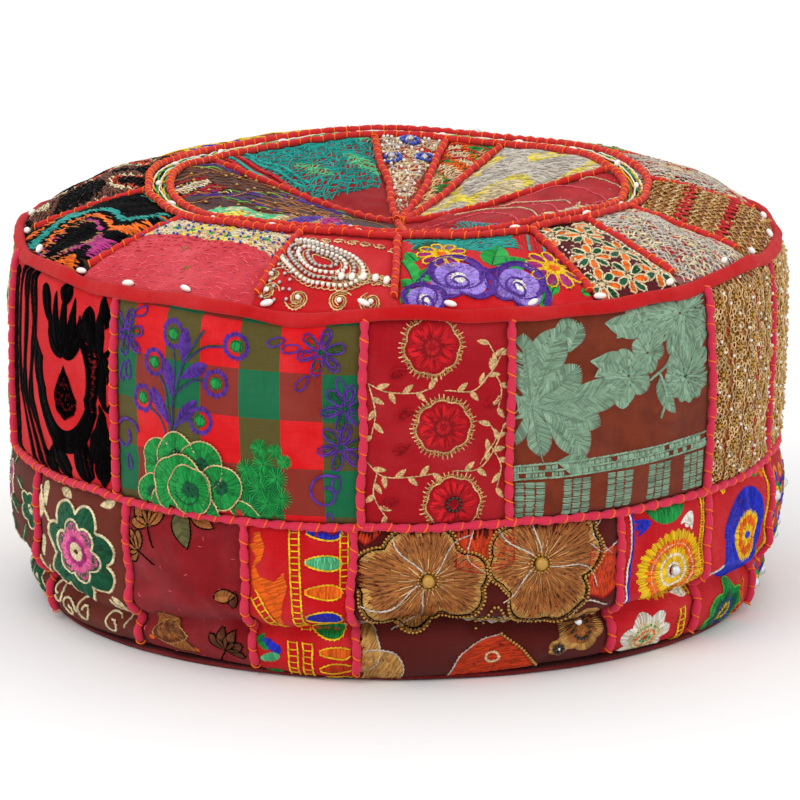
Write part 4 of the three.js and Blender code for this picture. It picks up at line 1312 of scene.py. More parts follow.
def sagePanel(work):
    sage = "sage"
    c = array((-50.0, 60.0))
    for a, length, wide, turn in ((96, 38, 17, -20), (66, 42, 20, -26), (36, 32, 17, 20), (6, 54, 17, 14), (-20, 40, 15, -24),
                                  (-46, 42, 18, -50), (-78, 28, 13, -20), (130, 26, 15, 20), (-120, 24, 12, 0), (170, 20, 14, 0)):
        work.leaf(c, a, length, wide, sage, bend=turn, gap=0.62, blunt=1.7)
    work.leaves((((-40, 92), 30, 18, 11), ((-30, 86), 60, 16, 10), ((-18, 80), -10, 22, 12), ((-16, 72), 26, 20, 12),
                 ((-36, 30), -10, 18, 12), ((-32, 36), 40, 14, 9), ((-6, 60), -20, 12, 8)), sage, blunt=1.4)
    work.level = 0.5
    for a in (96, 66, 36, 6, -20, -46, -78):
        t = linspace(0.1, 0.75, 6)[:, None] * 40
        d = towards(a)
        work.trail(c + d * t, "sage", 0.3, 2.4, shade=0)
    work.level = 0
    work.disc(c, 7, sage)
    work.trails((((-10, 72), (2, 69), (12, 66)), ((18, 66), (30, 74), (34, 92)), ((24, 68), (28, 56), (24, 46))), sage, 0.9)
    for c, r, n, turn in (((4, 70), 15, 5, 40), ((16, 80), 11, 5, 0), ((39, 97), 22, 9, 10), ((14, 96), 11, 5, 60)):
        work.fan(c, 0.8, lobes(r, n, 0.28, turn), (sage,), 0.62)
        work.fan(c, 3, lobes(r * 0.62, 1, 0), ("deepGreen",), 5.5, thick=0.25)
    work.fan((41, 64), 0.8, lambda phi: 15.5 * (1 - 0.25 * cos(phi + 2.4)) * (1 + 0.05 * sin(13 * phi)), (sage,), 0.62)
    for a in (-60, -20, 20, 60, 110, 160):
        d = towards(a)
        work.trail(((41, 64), (41, 64) + d * 11), "deepGreen", 0.22, 2.4)
    work.leaf((24, 66), -62, 22, 9, sage, bend=30)
    work.leaves((((-8, 98), -12, 26, 13), ((56, 98), -100, 22, 11), ((26, 84), 150, 14, 8), ((-2, 90), 40, 14, 8)), sage, blunt=1.2)
    w = work.width / 2
    for x0 in arange(-w + 3, w, 25):
        for k in range(3):
            for v in arange(2, 20.5, 3.2):
                x, y = x0 + k * 5.2, v + x0 * 0.03 + 1
                work.fill(((x, y), (x + 4.4, y), (x + 4.4, y + 2.9), (x, y + 2.9)), sage, 0, 0.7)
    for lift in (22.4, 26, 29.6):
        work.trail(joined((-w, 0, w), lift + 1 + array((-w, 0, w)) * 0.03), sage, 0.6)
    for x in arange(-w + 2, w, 3.3):
        for k in (0, 3.6):
            if work.rng.random() < 0.72:
                y = 22.8 + x * 0.03 + k
                work.fill(((x, y + 1), (x + 2.7, y + 1), (x + 2.7, y + 3.4), (x, y + 3.4)), sage, 90)


def goldPanel(work, strips=(8,), colours=("gold", "bronze", "paleGold"), red="red"):
    zariField(work, colours, 2.2, 2.4, 7.5)
    w = work.width / 2
    for x in strips:
        v = linspace(0, 104, 70)
        for side in (-2.4, 2.4):
            line = joined(x + side + 0.5 * sin(v / 5), v)
            work.across(line - (0.7, 0), line + (0.7, 0.6), red, 0.9)
    work.level = 0.4
    for x in arange(-w + 7, w - 3, 15):
        for v in arange(7, work.height - 4, 13):
            c = array((x, v)) + work.rng.uniform(-1.5, 1.5, 2)
            work.loops(circle(c, 3.6, n=24), 1.5, "paleGold", 2.6, 0.4, closed=True)
            work.beadRing(c, 2.6, "gold", 0.8, 2.0, lift=0.8)
            work.bead(c, "amber", (1.2, 1.2), lift=1.0)
    spots = work.spread(5.2)
    work.bead(spots[::2], "gold", (0.85, 0.85), lift=1.0)
    work.bead(spots[1::5], "pearl", (0.9, 0.9), lift=1.0)


def pinkFlowerPanel(work):
    c = array((5.0, 55.0))
    work.fan(c, 12, lobes(29, 7, 0.3, 15, 0.7), ("deepGreen", "deepGreen", "deepGreen"), 0.65)
    work.edge(ringed(lobes(30, 7, 0.3, 15, 0.7), c, 110), "cream", 0.85, 2.0)
    work.fan(c, 5, lobes(17.5, 6, 0.3, 45, 0.7), ("magenta", "pink", "pink"), 0.65)
    work.edge(ringed(lobes(18.5, 6, 0.3, 45, 0.7), c, 90), "cream", 0.8, 2.0)
    work.fan(c, 1.5, lobes(6.4, 1, 0), ("cream",), 0.7)
    work.disc(c, 2.0, "brown")
    work.trails((((-34, 84), (-30, 74), (-22, 66)), ((-38, 42), (-30, 34), (-24, 40)), ((26, 30), (34, 22), (30, 12))), "cream", 0.7)
    for b, a, length in (((-30, 88), -75, 14), ((-36, 66), 60, 15), ((-22, 92), 10, 11), ((-12, 88), -20, 10), ((34, 90), 200, 11),
                         ((-38, 54), -60, 12), ((36, 26), 140, 10), ((-40, 78), -80, 14)):
        work.leaf(b, a, length, 5.5, "cream")
    for cc, s in (((-22, 12), 0), ((-6, 14), 90), ((20, 12), 30), ((-34, 20), 200)):
        work.trail(curlLine(cc, 7.5, 1.2, s), "cream", 0.75)


def wornRedPanel(work):
    def leafy(c, a, colour="bronze"):
        for k, da in enumerate((-62, -30, 2, 34, 66)):
            work.leaf(c, a + da, 15 - abs(k - 2), 7, colour, edge="black", blunt=1.2)
        d = towards(a)
        work.trail([array(c) + d * 8, c, array(c) - d * 12], "black", 0.4)
    leafy((-20, 82), 110)
    leafy((-27, 66), 150)
    work.leaf((-2, 94), -70, 22, 11, "olive", edge="black")
    work.leaf((6, 92), -20, 15, 7, "bronze", edge="black")
    work.leaf((20, 47), 10, 12, 7.5, "bronze", edge="black")
    work.leaf((30, 42), 80, 9, 5, "brown", edge="black")
    leafy((20, 10), 60, "brown")
    work.leaf((-26, 26), -42, 34, 17, "bronze", edge="brown")
    work.leaf((-28, 14), 6, 26, 13, "brown", edge="gold")
    work.strokes(work.spread(17, 0.5), 30, 2.5, "rose", 0.25, 90)
    for c in ((-12, 14), (0, 6), (-30, 10)):
        work.disc(c, 1.8, "orange")


def teardropPanel(work):
    work.fill(((-27, 92), (-20, 88), (-17, 80), (-19, 72), (-23, 68), (-20, 62), (-12, 60), (-7, 66), (-5, 58), (-8, 48),
                        (-9, 34), (-14, 42), (-20, 50), (-26, 56), (-25, 66), (-22, 74), (-27, 80)), "orange", 25)
    ladder(work, (-2, 96), (1, 27), 5, "yellow")
    ladder(work, (24, 96), (24, 58), 4, "yellow")
    ladder(work, (-25, 52), (-10, 30), 4.5, "yellow")
    for v, colour in ((90, "blue"), (73, "mint"), (56, "orange"), (41, "blue"), (29, "green")):
        work.drop((4, v), 0, 19, 11, colour, "yellow")
    for v, colour in ((8, "rust"), (18, "orange"), (-2, "blue")):
        work.drop((9, v), 0, 18, 9, colour, "yellow")
    ladder(work, (-5, 22), (-5, -8), 5, "yellow")
    ladder(work, (3, 22), (3, -8), 5, "yellow")
    for c, a, colour in (((-22, 22), -30, "blue"), ((-24, 10), 20, "mint"), ((-24, -2), 20, "green"), ((-27, 26), -50, "green")):
        work.drop(c, a, 12, 7, colour)


def bronzePanel(work):
    w = work.width / 2
    for u0, u1, v0, v1 in ((-20, 10, 66, 100), (52, w, 44, 74), (-w, -58, 84, 100)):
        shape = array(((u0, v0 + 4), ((u0 + u1) / 2, v0), (u1, v0 + 6), (u1, v1), (u0, v1)), float)
        work.fill(shape, "rust", 84, 0.62)
        work.edge(shape, "crimson", 0.5)
    blooms = (((-34, 64), ((212, 38), (250, 36), (82, 31), (120, 32), (8, 32), (-34, 32), (172, 39))),
              ((24, 70), ((48, 40), (8, 36), (-58, 38), (-98, 35), (182, 28), (146, 30), (92, 33))))
    for c, parts in blooms:
        c = array(c, float)

        def rim(phi, parts=parts):
            reach = full(np.shape(phi), 24.0)
            for a, r in parts:
                away = (phi - radians(a) + pi) % (2 * pi) - pi
                reach = maximum(reach, r * clip(1 - (away / 0.7) ** 2, 0, 1) ** 0.3)
            return reach
        work.fan(c, 3.5, rim, ("bronze", "bronze", "bronze", "gold"), 0.62)
        work.level = 0.35
        work.fan(c, 3.5, lambda phi: rim(phi) * 0.95, ("paleGold", "gold", "brown", "gold"), 3.2, thick=0.26)
        for k, (a, r) in enumerate(parts[::2]):
            t = linspace(4, r, 9)
            phi = np.radians(a + 24 + 26 * sin(t / 13))
            work.trail(c + around(phi) * t[:, None], "silver", 0.4)
        work.level = 0
        work.beadLine(ringed(rim, c, 120), "gold", 0.95, 2.0, closed=True, lift=0.9)
        work.edge(ringed(lambda phi: rim(phi) - 1.8, c, 120), "black", 0.45, 2.2, lift=0.8)
        work.bead(c, "amber", (3.6, 3.6), lift=0.2)
        work.beadRing(c, 5, "gold", 0.9, 1.9)
    for c, r in (((54, 24), 6), ((40, 14), 2.4)):
        work.fan(c, 1, lobes(r * 2.5, 5, 0.2), ("bronze", "gold"), 0.65)
        work.beadRing(c, r, "black", 1.0, 2.0)
        work.bead(c, "mirror", (r * 0.5, r * 0.5), lift=0.2)
    petal = array(((-22, 0), (-16, 16), (-4, 25), (6, 26), (18, 18), (28, 4), (28, -6), (-22, -6)), float)
    work.fill(petal, "rust", 10, 0.62)
    work.edge(petal, "silver", 0.4)
    work.level = 0.4
    work.ring((2, 12), 3.0, 4.2, "cream")
    work.level = 0
    work.beadLine(petal[3:6], "gold", 1.0, 2.0)
    for c, squash in (((-60, 8), 1.1), ((-66, 20), 0.6)):
        work.fill(circle(c, 13, squash), "gold", 60, 0.65)
        work.edge(circle(c, 13, squash), "silver", 0.4)
    for shape in (((-8, 29), (-2, 44), (3, 46), (12, 30)), ((-3, 30), (2, 38), (7, 30))):
        work.beadLine(shape, "gold", 1.0, 2.1)
    work.trails((((44, 36), (52, 44), (64, 40)), ((52, 78), (60, 72), (70, 76)), ((-10, 92), (-14, 76), (-4, 66)),
                 ((60, 90), (54, 82), (66, 70)), ((10, 40), (20, 32), (34, 34))), "silver", 0.5)


def sunPanel(work):
    c = array((3.0, 53.0))
    work.fan(c, 8, lambda phi: 23 + 0.8 * sin(31 * phi), ("yellow", "orange", "yellow"), 0.9)
    for r0, r1, colour in ((14.5, 16, "white"), (8, 10.4, "white"), (4.6, 8, "yellow"), (3.2, 4.6, "white")):
        work.ring(c, r0, r1, colour, ragged=0.3)
    work.bead(c, "mirror", (3.0, 3.0), lift=0.2)
    half = circle((-2, 96), 15, 1.0)
    work.fill(half[half[:, 1] < 97], "green", 90)
    for c, a, colour in (((16, 84), 60, "white"), ((-14, 84), 20, "blue"), ((24, 30), -40, "white")):
        work.drop(c, a + 180, 9, 7, colour)
        work.leaf(c, a + 150, 10, 3, colour)
        work.leaf(c, a + 210, 10, 3, colour)
    ladder(work, (26, 98), (26, 30), 3.5, "yellow", 1.6)
    work.trail(((-27, 98), (-25, 70), (-27, 32)), "white", 0.5)
    work.trail(((-25.6, 98), (-23.6, 70), (-25.6, 32)), "blue", 0.5)
    c = array((-4.0, 8.0))
    lobedBloom(work, c, lobes(19, 7, 0.25, 10), ("cream", "white"), None)
    for r0, r1, colour in ((8, 11, "green"), (5, 8, "orange"), (2, 5, "green")):
        work.ring(c, r0, r1, colour)
    ladder(work, (20, 24), (26, -4), 4, "yellow")


def horseshoePanel(work):
    c = array((0.0, 58.0))
    work.fan(c, 12, lambda phi: 19 + 9 * np.abs(sin(phi)), ("blue", "blue"), 0.85)
    work.fan(c, 2, lambda phi: 11 + 5 * np.abs(sin(phi)), ("yellow", "orange", "yellow"), 0.85)
    work.disc(c, 2.4, "blue")
    work.leaf((-14, 98), -20, 18, 8, "white")
    work.leaf((8, 96), -30, 14, 8, "green")
    for c, colour in (((-24, 88), "yellow"), ((22, 86), "orange"), ((-26, 36), "white"), ((26, 34), "green")):
        work.leaf(c, 60, 11, 5, colour)
    ladder(work, (30, 98), (30, 30), 3.5, "yellow", 1.6)
    c = array((-2.0, 10.0))
    lobedBloom(work, c, lobes(20, 6, 0.25, 30), ("deepGreen", "green"), "lime")
    for r0, r1, colour in ((7, 10, "blue"), (3, 7, "yellow")):
        work.ring(c, r0, r1, colour)
    ladder(work, (20, 24), (22, -6), 4, "orange")


def featherPanel(work):
    nap(work, ("black", "teal", "black", "orange", "black", "magenta", "bronze", "black"),
        (0.24, 0.13, 0.14, 0.14, 0.12, 0.05, 0.05, 0.13), 1.9, (8, 17), 14, 16, 22, 0.68)


def salmonPanel(work):
    nap(work, ("rose", "rope"), (0.7, 0.3), 4.0, (2, 5), 8, 40, 20, 0.3, (-60, 60, 2, 44))
    for c in ((-4, 33), (10, 18)):
        work.disc(c, 1.6, "bronze")
    box = (-60, 60, 46, 66)
    nap(work, ("cream", "lemon", "paleGold", "cream"), (0.4, 0.2, 0.2, 0.2), 1.6, (2, 4), 10, 60, 12, 0.5, box)
    work.bead(work.spread(6, box=box), "blue", (0.8, 0.8))
    for x in arange(-40, 45, 12):
        work.disc((x, 52 + 0.002 * x * x), 2.4, "green")


def pearlPanel(work):
    shape = paisleyShape((-4, 30), 44, 62)
    for share in (1.0, 0.78, 0.56, 0.34):
        work.beadLine(shrink(shape, share), "silver" if share in (0.78, 0.34) else "pearl", 1.25, 2.9, closed=True, lift=0.8)
        work.edge(shrink(shape, share - 0.1), "paleGold", 0.4, 2.0)
    work.loops(shrink(shape, 1.16), 2.2, "paleGold", 3.6, 0.4, closed=True)
    for x in arange(6, 34, 5.6):
        work.bead((x, 20 + 0.1 * x), "pearl", (1.9, 2.8), lift=0.8)
        work.loops(circle((x, 20 + 0.1 * x), 2.6, n=20), 1.0, "paleGold", 2.2, 0.32, closed=True)
    for c, start in (((-30, 12), 0), ((-30, 24), 60), ((24, 6), 120), ((-14, 8), 200), ((8, 6), 30), ((-33, 40), 90)):
        work.trail(curlLine(c, 6, 1.6, start), "paleGold", 0.5, 1.9)
        work.trail(curlLine(c, 4.4, 1.4, start + 20), "gold", 0.45, 1.9)
        work.bead(c, "pearl", (1.5, 1.5), lift=0.8)
    work.bead(work.spread(5.0, box=(-36, -16, 8, 56)), "silver", (1.1, 1.1), lift=0.8)
    for x in arange(-30, 32, 7):
        work.trail(curlLine((x, 54), 3.4, 1.2, x * 9), "paleGold", 0.45, 1.8)


def pansyPanel(work):
    for c, r, turn in (((-38, 8), 13, 120), ((-18, 19), 21, 84), ((11, 13), 19, 60)):
        c = array(c, float)
        for k, (a, share) in enumerate(((turn + 88, 0.85), (turn - 88, 0.85), (turn, 1.0))):
            work.level = 0.3 * k
            d = towards(a)
            at = c + d * r * 0.36
            size = r * 0.66 * share
            work.fan(at - d * size * 0.3, 0.5, lobes(size * 0.86, 1, 0), ("white", "lilac", "lilac"), 0.6)
            work.ring(at, size * 0.74, size, "purple", ragged=0.4)
            work.edge(circle(at, size), "purple", 0.5, 2.0, lift=0.7)
        work.level = 1.0
        work.trail(curlLine(c, r * 0.36, 1.4, turn), "purple", 0.6, 1.8)
        work.disc(c, 1.6, "white")
        work.level = 0
    for c, r in (((-20, 43), 13), ((34, 28), 15)):
        work.fan(c, r * 0.3, lobes(r, 9, 0.22, 10), ("magenta", "magenta"), 0.62)
        work.level = 0.4
        for a in range(10, 370, 40):
            work.drop(array(c) + towards(a) * r * 0.32,
                      a, r * 0.66, r * 0.52, None, "yellow")
        work.fan(c, 0.5, lobes(r * 0.36, 1, 0), ("orange", "yellow"), 0.6)
        work.level = 0
    work.leaves((((-40, 24), 90, 22, 12), ((-40, 22), 40, 18, 10), ((-41, 20), 145, 18, 10), ((-42, 16), 190, 14, 9),
                 ((2, 30), 65, 24, 14), ((4, 30), 10, 20, 13), ((28, 14), -120, 14, 7), ((28, 10), 60, 10, 6),
                 ((-28, 34), -60, 12, 7), ((46, 14), 20, 10, 6), ((-47, 34), 70, 17, 8), ((-34, 40), 100, 12, 7),
                 ((-46, 12), 230, 12, 8)), "leafGreen", vein="deepGreen")
    nap(work, ("teal", "deepGreen"), (0.88, 0.12), 2.2, (4, 9), 14, 50, 14, 0.5, (-30, 22, 48, 68))
    for x in arange(22, 50, 4):
        work.across(array([[x, 44.0]]), array([[x + 5, 64.0]]), "teal" if int(x) % 8 < 4 else "red", 0.9, longest=9)


def petalGridPanel(work):
    for c in ((1, 13), (-10, 31), (10, 31), (1, 49), (-18, 12), (19, 13), (-13, 58), (14, 58)):
        for a in range(22, 382, 45):
            d = towards(a)
            work.drop(array(c) + d * 2.4, a, 8, 5.4, ("deepGreen", "orange")[a // 45 % 2], "cream")
        work.disc(c, 1.8, "cream")
    for x in (-1, 1):
        edge = array(((x * 26, 0), (x * 22, 25), (x * 17, 60)), float)
        work.trail(edge, "cream", 0.55)
        work.loops(edge, 1.6, "cream", 3.4, 0.4, out=x)
        work.beadLine(edge - (x * 3, 0), "pearl", 0.7, 3.0)
    work.strokes(work.spread(6, 0.5), 0, 1.6, "cream", 0.35, 90)


def silverPanel(work, colours=("silver", "cream", "silver"), angle=25):
    zariField(work, colours, 2.0, 3.0, 5.5)
    work.level = 0.3
    nap(work, ("silver", "red", "cream"), (0.6, 0.14, 0.26), 2.8, (3, 6), angle, 70, 9, 0.5)
    work.level = 0


def zigzagPanel(work, line="red"):
    zariField(work, ("gold", "paleGold", "bronze"), 2.1, 2.8, 8.0, upright=False)
    w = work.width / 2
    work.level = 0.5
    for v0 in (20, 42):
        x = arange(-w, w, 4.0)
        path = joined(x, v0 + 6 * (arange(len(x)) % 2))
        fine = concatenate([linspace(p, q, 4, endpoint=False) for p, q in zip(path, path[1:])])
        for k in range(2):
            work.trail(fine + (0, k * 1.1), line, 0.6, 1.6)
    work.level = 0
    work.bead(work.spread(7), "gold", (0.9, 0.9), lift=0.9)


def gardenPanel(work, bloom, core, leaf, edge, scale=1.0):
    # rows of blooms joined by a winding stem
    w, h = work.width / 2, work.height
    rows = max(1, round(h / (46 * scale)))
    for k in range(rows):
        v = h * (k + 0.5) / rows
        x = linspace(-w, w, 12)
        work.trail(joined(x, v + 8 * scale * sin(x / (13 * scale) + k)), leaf, 0.6)
        for i, x0 in enumerate(arange(-w + 16 * scale + (k % 2) * 10, w - 8, 34 * scale)):
            at = (x0, v + 9 * scale * math.sin(x0 / (13 * scale) + k))
            lobedBloom(work, at, lobes(11.5 * scale, 6 - i % 2, 0.26, 20 * i), (bloom[i % len(bloom)],) * 2, edge, 0.45, 3 * scale)
            work.fan(at, 0.5, lobes(3.6 * scale, 1, 0), (core,), 0.7)
            for a in (60, 130, 240, 310):
                d = towards(a)
                work.leaf(array(at) + d * 13 * scale, a + 20, 10 * scale, 5 * scale, leaf, vein=edge)


def mirrorPanel(work, rings, filler, scale=1.0):
    # round mirrors held by rings of close stitches, with darts between
    w, h = work.width / 2, work.height
    step = 30 * scale
    for k, v in enumerate(arange(step * 0.5, h, step)):
        for x in arange(-w + step * (0.5 + 0.5 * (k % 2)), w, step):
            r = 3.6 * scale
            work.bead((x, v), "mirror", (r, r), lift=-r * 0.55)
            for colour in rings:
                work.ring((x, v), r, r + 2.4 * scale, colour, ragged=0.2)
                r += 2.6 * scale
            for a in range(30, 390, 60):
                d = towards(a)
                work.drop(array((x, v)) + d * (r + 0.5), a, 5.5 * scale, 3.6 * scale, filler)


def tealPanel(work):
    nap(work, ("teal", "teal", "mint"), (0.5, 0.35, 0.15), 2.4, (4, 9), 20, 60, 16, 0.55, (-60, 26, 2, 75))
    for x in arange(28, 70, 4.4):
        work.trail(((x, 2), (x - 4, 20), (x - 12, 60)), "teal" if int(x) % 3 else "red", 0.9)


def velvetPanel(work):
    for x in linspace(-90, 90, 7):
        pts = joined(x + 10 * sin(linspace(0, 4, 10) + x), linspace(4, 100, 10))
        work.trail(pts, "gold" if int(x) % 2 else "bronze", 0.35, 2.4)
    nap(work, ("brown", "lime", "purple", "bronze"), (0.5, 0.1, 0.25, 0.15), 5.5, (6, 12), 60, 30, 22, 0.4, (-100, 20, 22, 110))
    nap(work, ("crimson", "black", "cream"), (0.4, 0.3, 0.3), 2.2, (3, 6), 30, 60, 8, 0.45, (-64, -34, 8, 44))
    work.level = 0.3
    nap(work, ("mint", "cream", "mint", "lemon"), (0.36, 0.24, 0.3, 0.1), 1.9, (3, 7), 30, 40, 10, 0.55, (0, 44, 3, 34))
    nap(work, ("magenta", "gold", "purple"), (0.4, 0.3, 0.3), 2.0, (4, 9), 10, 40, 10, 0.5, (44, 82, 10, 52))
    nap(work, ("cream", "blue", "teal"), (0.5, 0.2, 0.3), 2.2, (3, 6), 40, 50, 12, 0.5, (82, 120, 36, 84))
    work.level = 0
    work.bead(work.spread(15, box=(-80, 40, 20, 90)), "gold", (1.0, 1.0), lift=0.7)


def satinTrails(work):
    for k in range(6):
        x = -60 + k * 21
        pts = array(((x, 8 + k * 3), (x + 18, 26 + 5 * math.sin(k)), (x + 34, 52), (x + 30, 82)))
        work.trail(pts, "cream" if k % 2 else "rose", 0.35, 2.6)
    nap(work, ("cream", "silver", "crimson"), (0.5, 0.35, 0.15), 2.0, (4, 9), 80, 25, 9, 0.55, (-36, 20, 3, 17))
    nap(work, ("teal", "sky", "red"), (0.4, 0.2, 0.4), 2.4, (4, 8), 40, 20, 12, 0.45, (-110, -50, 12, 60))
    work.strokes(work.spread(18, 0.4), 40, 3, "rose", 0.3, 60)


def fanPanel(work, colours, top="red"):
    nap(work, colours, tuple(1 / len(colours) for _ in colours), 2.0, (3, 6), 60, 50, 11, 0.48)
    for r in (10, 17, 24, 31):
        phi = np.radians(linspace(200, 340, 30))
        work.trail(array((0, 36)) + around(phi) * r, top, 0.8)


def beadedRelief(work):
    nap(work, ("cream", "silver", "rust", "cream"), (0.4, 0.25, 0.12, 0.23), 2.0, (3, 6), 40, 70, 9, 0.5)
    for c in ((0, 16), (-9, 34), (8, 40)):
        work.beadRing(c, 4.5, "blue", 1.3, 2.6, lift=0.8)
        work.bead(c, "silver", (2.2, 2.2), lift=0.7)
    work.bead(work.spread(6), "pearl", (1.0, 1.0), lift=0.8)


def paisleyRows(work, colours, edge, core):
    w, h = work.width / 2, work.height
    rows = max(1, round(h / 44))
    for k in range(rows):
        for i, x in enumerate(arange(-w + 16, w - 6, 31)):
            shape = paisleyShape((x, h * (k + 0.5) / rows), 32, 15 if (i + k) % 2 else -15, 1 if i % 2 else -1)
            work.fill(shape, colours[(i + k) % len(colours)], 20)
            work.edge(shape, edge, 0.6, 2.2)
            work.fill(shrink(shape, 0.5), core, 110)
            work.edge(shrink(shape, 0.52), edge, 0.45, 2.0)
            work.loops(shrink(shape, 1.15), 1.2, edge, 3.0, 0.35, closed=True)


def kantha(work, colours, gap=4.5, angle=0):
    # rows of running stitch
    pts = work.spread(gap, 0.1)
    for i, colour in enumerate(colours):
        work.strokes(pts[i::len(colours)], angle, 3.0, colour, 0.4, 4)


designs = [  # one for each patch, with its settings
    # upper row
    redBlackPanel, plaidPanel, vinePanel, sagePanel, goldPanel, (goldPanel, (-30, 22), ("gold", "paleGold")),
    (gardenPanel, ("red", "orange", "magenta"), "yellow", "lime", "paleGold"),
    (paisleyRows, ("deepGreen", "blue", "orange"), "paleGold", "crimson"),
    (mirrorPanel, ("orange", "red", "white"), "mint"),
    (gardenPanel, ("crimson", "purple", "blue"), "yellow", "green", "cream", 1.15),
    # lower row
    pinkFlowerPanel, wornRedPanel, teardropPanel, bronzePanel, sunPanel, horseshoePanel,
    (mirrorPanel, ("yellow", "green"), "blue", 0.9), (gardenPanel, ("pink", "orange"), "yellow", "mint", "paleGold", 0.9),
    lambda work: (kantha(work, ("cream", "yellow")), paisleyRows(work, ("teal", "crimson"), "cream", "yellow")),
    (goldPanel, (), ("gold", "bronze", "crimson")), (mirrorPanel, ("red", "yellow"), "white", 0.9),
    (gardenPanel, ("magenta", "deepGreen"), "cream", "deepGreen", "cream", 1.0),
    # crown row
    featherPanel, salmonPanel, pearlPanel, pansyPanel, petalGridPanel, silverPanel, zigzagPanel,
    (silverPanel, ("silver", "crimson", "cream"), 60), (gardenPanel, ("green", "orange"), "cream", "deepGreen", "paleGold", 0.7),
    (mirrorPanel, ("orange", "cream"), "pink", 0.8), (paisleyRows, ("blue", "deepGreen"), "yellow", "orange"),
    (nap, ("black", "brown", "cream", "rust", "black"), (0.3, 0.3, 0.12, 0.1, 0.18), 2.6, (5, 11), 20, 30, 18, 0.55),
    # centre row
    satinTrails, (nap, ("silver", "lemon", "cream", "paleGold"), (0.35, 0.2, 0.25, 0.2), 2.2, (4, 8), 35, 25, 20, 0.5),
    (fanPanel, ("cream", "orange", "green", "paleGold")), beadedRelief, tealPanel, velvetPanel,
]

for seed, (patch, design) in enumerate(zip(patches, designs)):
    work = Needlework(patch, 40 + seed)
    panel, *settings = design if isinstance(design, tuple) else (design,)
    panel(work, *settings)
    work.finish()
print("needlework done on", len(designs), "patches")
# Beads on the rim and between the two cords on top
riceBead = {"rim": {"count": 28, "s": rimS + 7.6, "lift": 1.5, "wide": 1.7, "half": 3.4, "lean": 45, "seed": 5},
            "ring": {"count": 18, "s": ringS, "lift": 1.3, "wide": 1.5, "half": 2.9, "lean": 40, "seed": 6}}


def riceBeads(name, node, count, s, lift, wide, half, lean, seed):
    g = np.random.default_rng(seed)
    theta = (arange(count) + 0.5) * 360 / count - 180 + g.uniform(-1.6, 1.6, count)
    s = s + g.uniform(-0.8, 0.8, count)
    radius = radiusAt(s)
    lean = np.radians(g.uniform(-lean, lean, count))
    here, up = coverPoint(theta, s, lift)
    there, _ = coverPoint(theta + np.degrees(cos(lean) / radius), s + sin(lean), lift)
    sizes = joined(wide * g.uniform(0.88, 1.1, count), half * g.uniform(0.85, 1.1, count))
    sewn(sewBeads(name, here, there - here, up, sizes, beadMaterial("white"), 12, 10), "beads", node)


for place in riceBead:
    riceBeads(place + "RiceBeads", place + "_beads", **riceBead[place])


def ringThreads():
    # loose coloured threads couched between the two cords
    groups = []
    g = np.random.default_rng(12)
    for k, (offset, shade) in enumerate(((-2.4, 0), (-1.2, 1), (0.2, 2), (1.3, 0), (2.5, 1), (-3.2, 2), (3.2, 0))):
        th = linspace(-180, 180, 401)
        sway = sum(g.normal() * sin(np.radians(th) * f + g.uniform(0, 6)) for f in (6, 13, 22, 37)) * 0.35
        pts, _ = coverPoint(th, ringS + offset + sway, 0.5 + 0.15 * (k % 3))
        cut = np.stack([pts[i:i + 401 - 8 + 1:8] for i in range(9)], 1)[:50]
        groups.append((cut, 0.5, shade))
    sewn(layThreads("ringThreads", groups, [threadMaterial(c) for c in ("yellow", "green", "white")], 5), "top_cord")


ringThreads()


# Layers under the patches
backingCotton = clothMaterial("backingCotton", "b8ab8c", mottled("a59673", 40), 1.1, 0.3)
muslinCotton = clothMaterial("muslinCotton", "ddd3ba", mottled("cfc3a4", 30), 0.8, 0.2)
woolWadding = clothMaterial("cottonWadding", "d9d0be", mottled("bfb297", 120), 3.0, 0.4, 1.0)
for name, node, sA, sB, lift, material, slotName in (
        ("backingLayer", "cover_lining", 8, endS - 1, -2.2, backingCotton, "backing_cloth"),
        ("linerSideLayer", "liner_side", 26, rimS - 8, -3.9, muslinCotton, "muslin"),
        ("linerTopLayer", "liner_top", rimS + 14, endS - 1, -3.9, muslinCotton, "muslin")):
    sewn(ringCloth(name, sA, sB, lift, material), slotName, node)


def discRows(radii, z, turns=180):
    t = linspace(-pi, pi, turns, endpoint=False)
    return [joined(r * sin(t), -r * cos(t), h) for r, h in zip(radii, z)]


def closedRings(name, rows, material):
    # rings of one count joined into a closed form, with a point at each end
    turns = len(rows[0])
    verts = concatenate(rows + [rows[0].mean(0)[None], rows[-1].mean(0)[None]])
    k = len(rows)
    faces = gridFaces(k, turns, True)
    faces += [(k * turns, (i + 1) % turns, i) for i in range(turns)]
    faces += [(k * turns + 1, (k - 1) * turns + i, (k - 1) * turns + (i + 1) % turns) for i in range(turns)]
    uv = verts[:, :2] + verts[:, 2:] * 0.5
    return makeMesh(name, verts, faces, uv, material)


fillTurns = linspace(-180, 180, 180, endpoint=False)
sideRows = [coverPoint(fillTurns, s, -5.6)[0] for s in arange(38, endS - 4, 6)]
lowRows = discRows((20, 70, 120, 160, 176), (19, 19, 18.5, 18, 18.5))
wadding = closedRings("wadding", lowRows + sideRows, woolWadding)
sewn(wadding, "wadding", "filling")

# Base: two cloths drawn up to the zip
basePart = {"radius": boxOf("base_panel_left")[1][0], "thick": 1.4, "slot": 7.0, "slotEnd": 141.0,
            "lipX": 146.0, "lipY": 14.0, "slope": 12.0, "rise": 6.0}


def pocketRise(x, y, grow=0.0):
    d = maximum(np.abs(x) - basePart["lipX"] - grow, np.abs(y) - basePart["lipY"] - grow) / basePart["slope"]
    t = clip(1 - d, 0, 1)
    return basePart["rise"] * t * t * (3 - 2 * t)


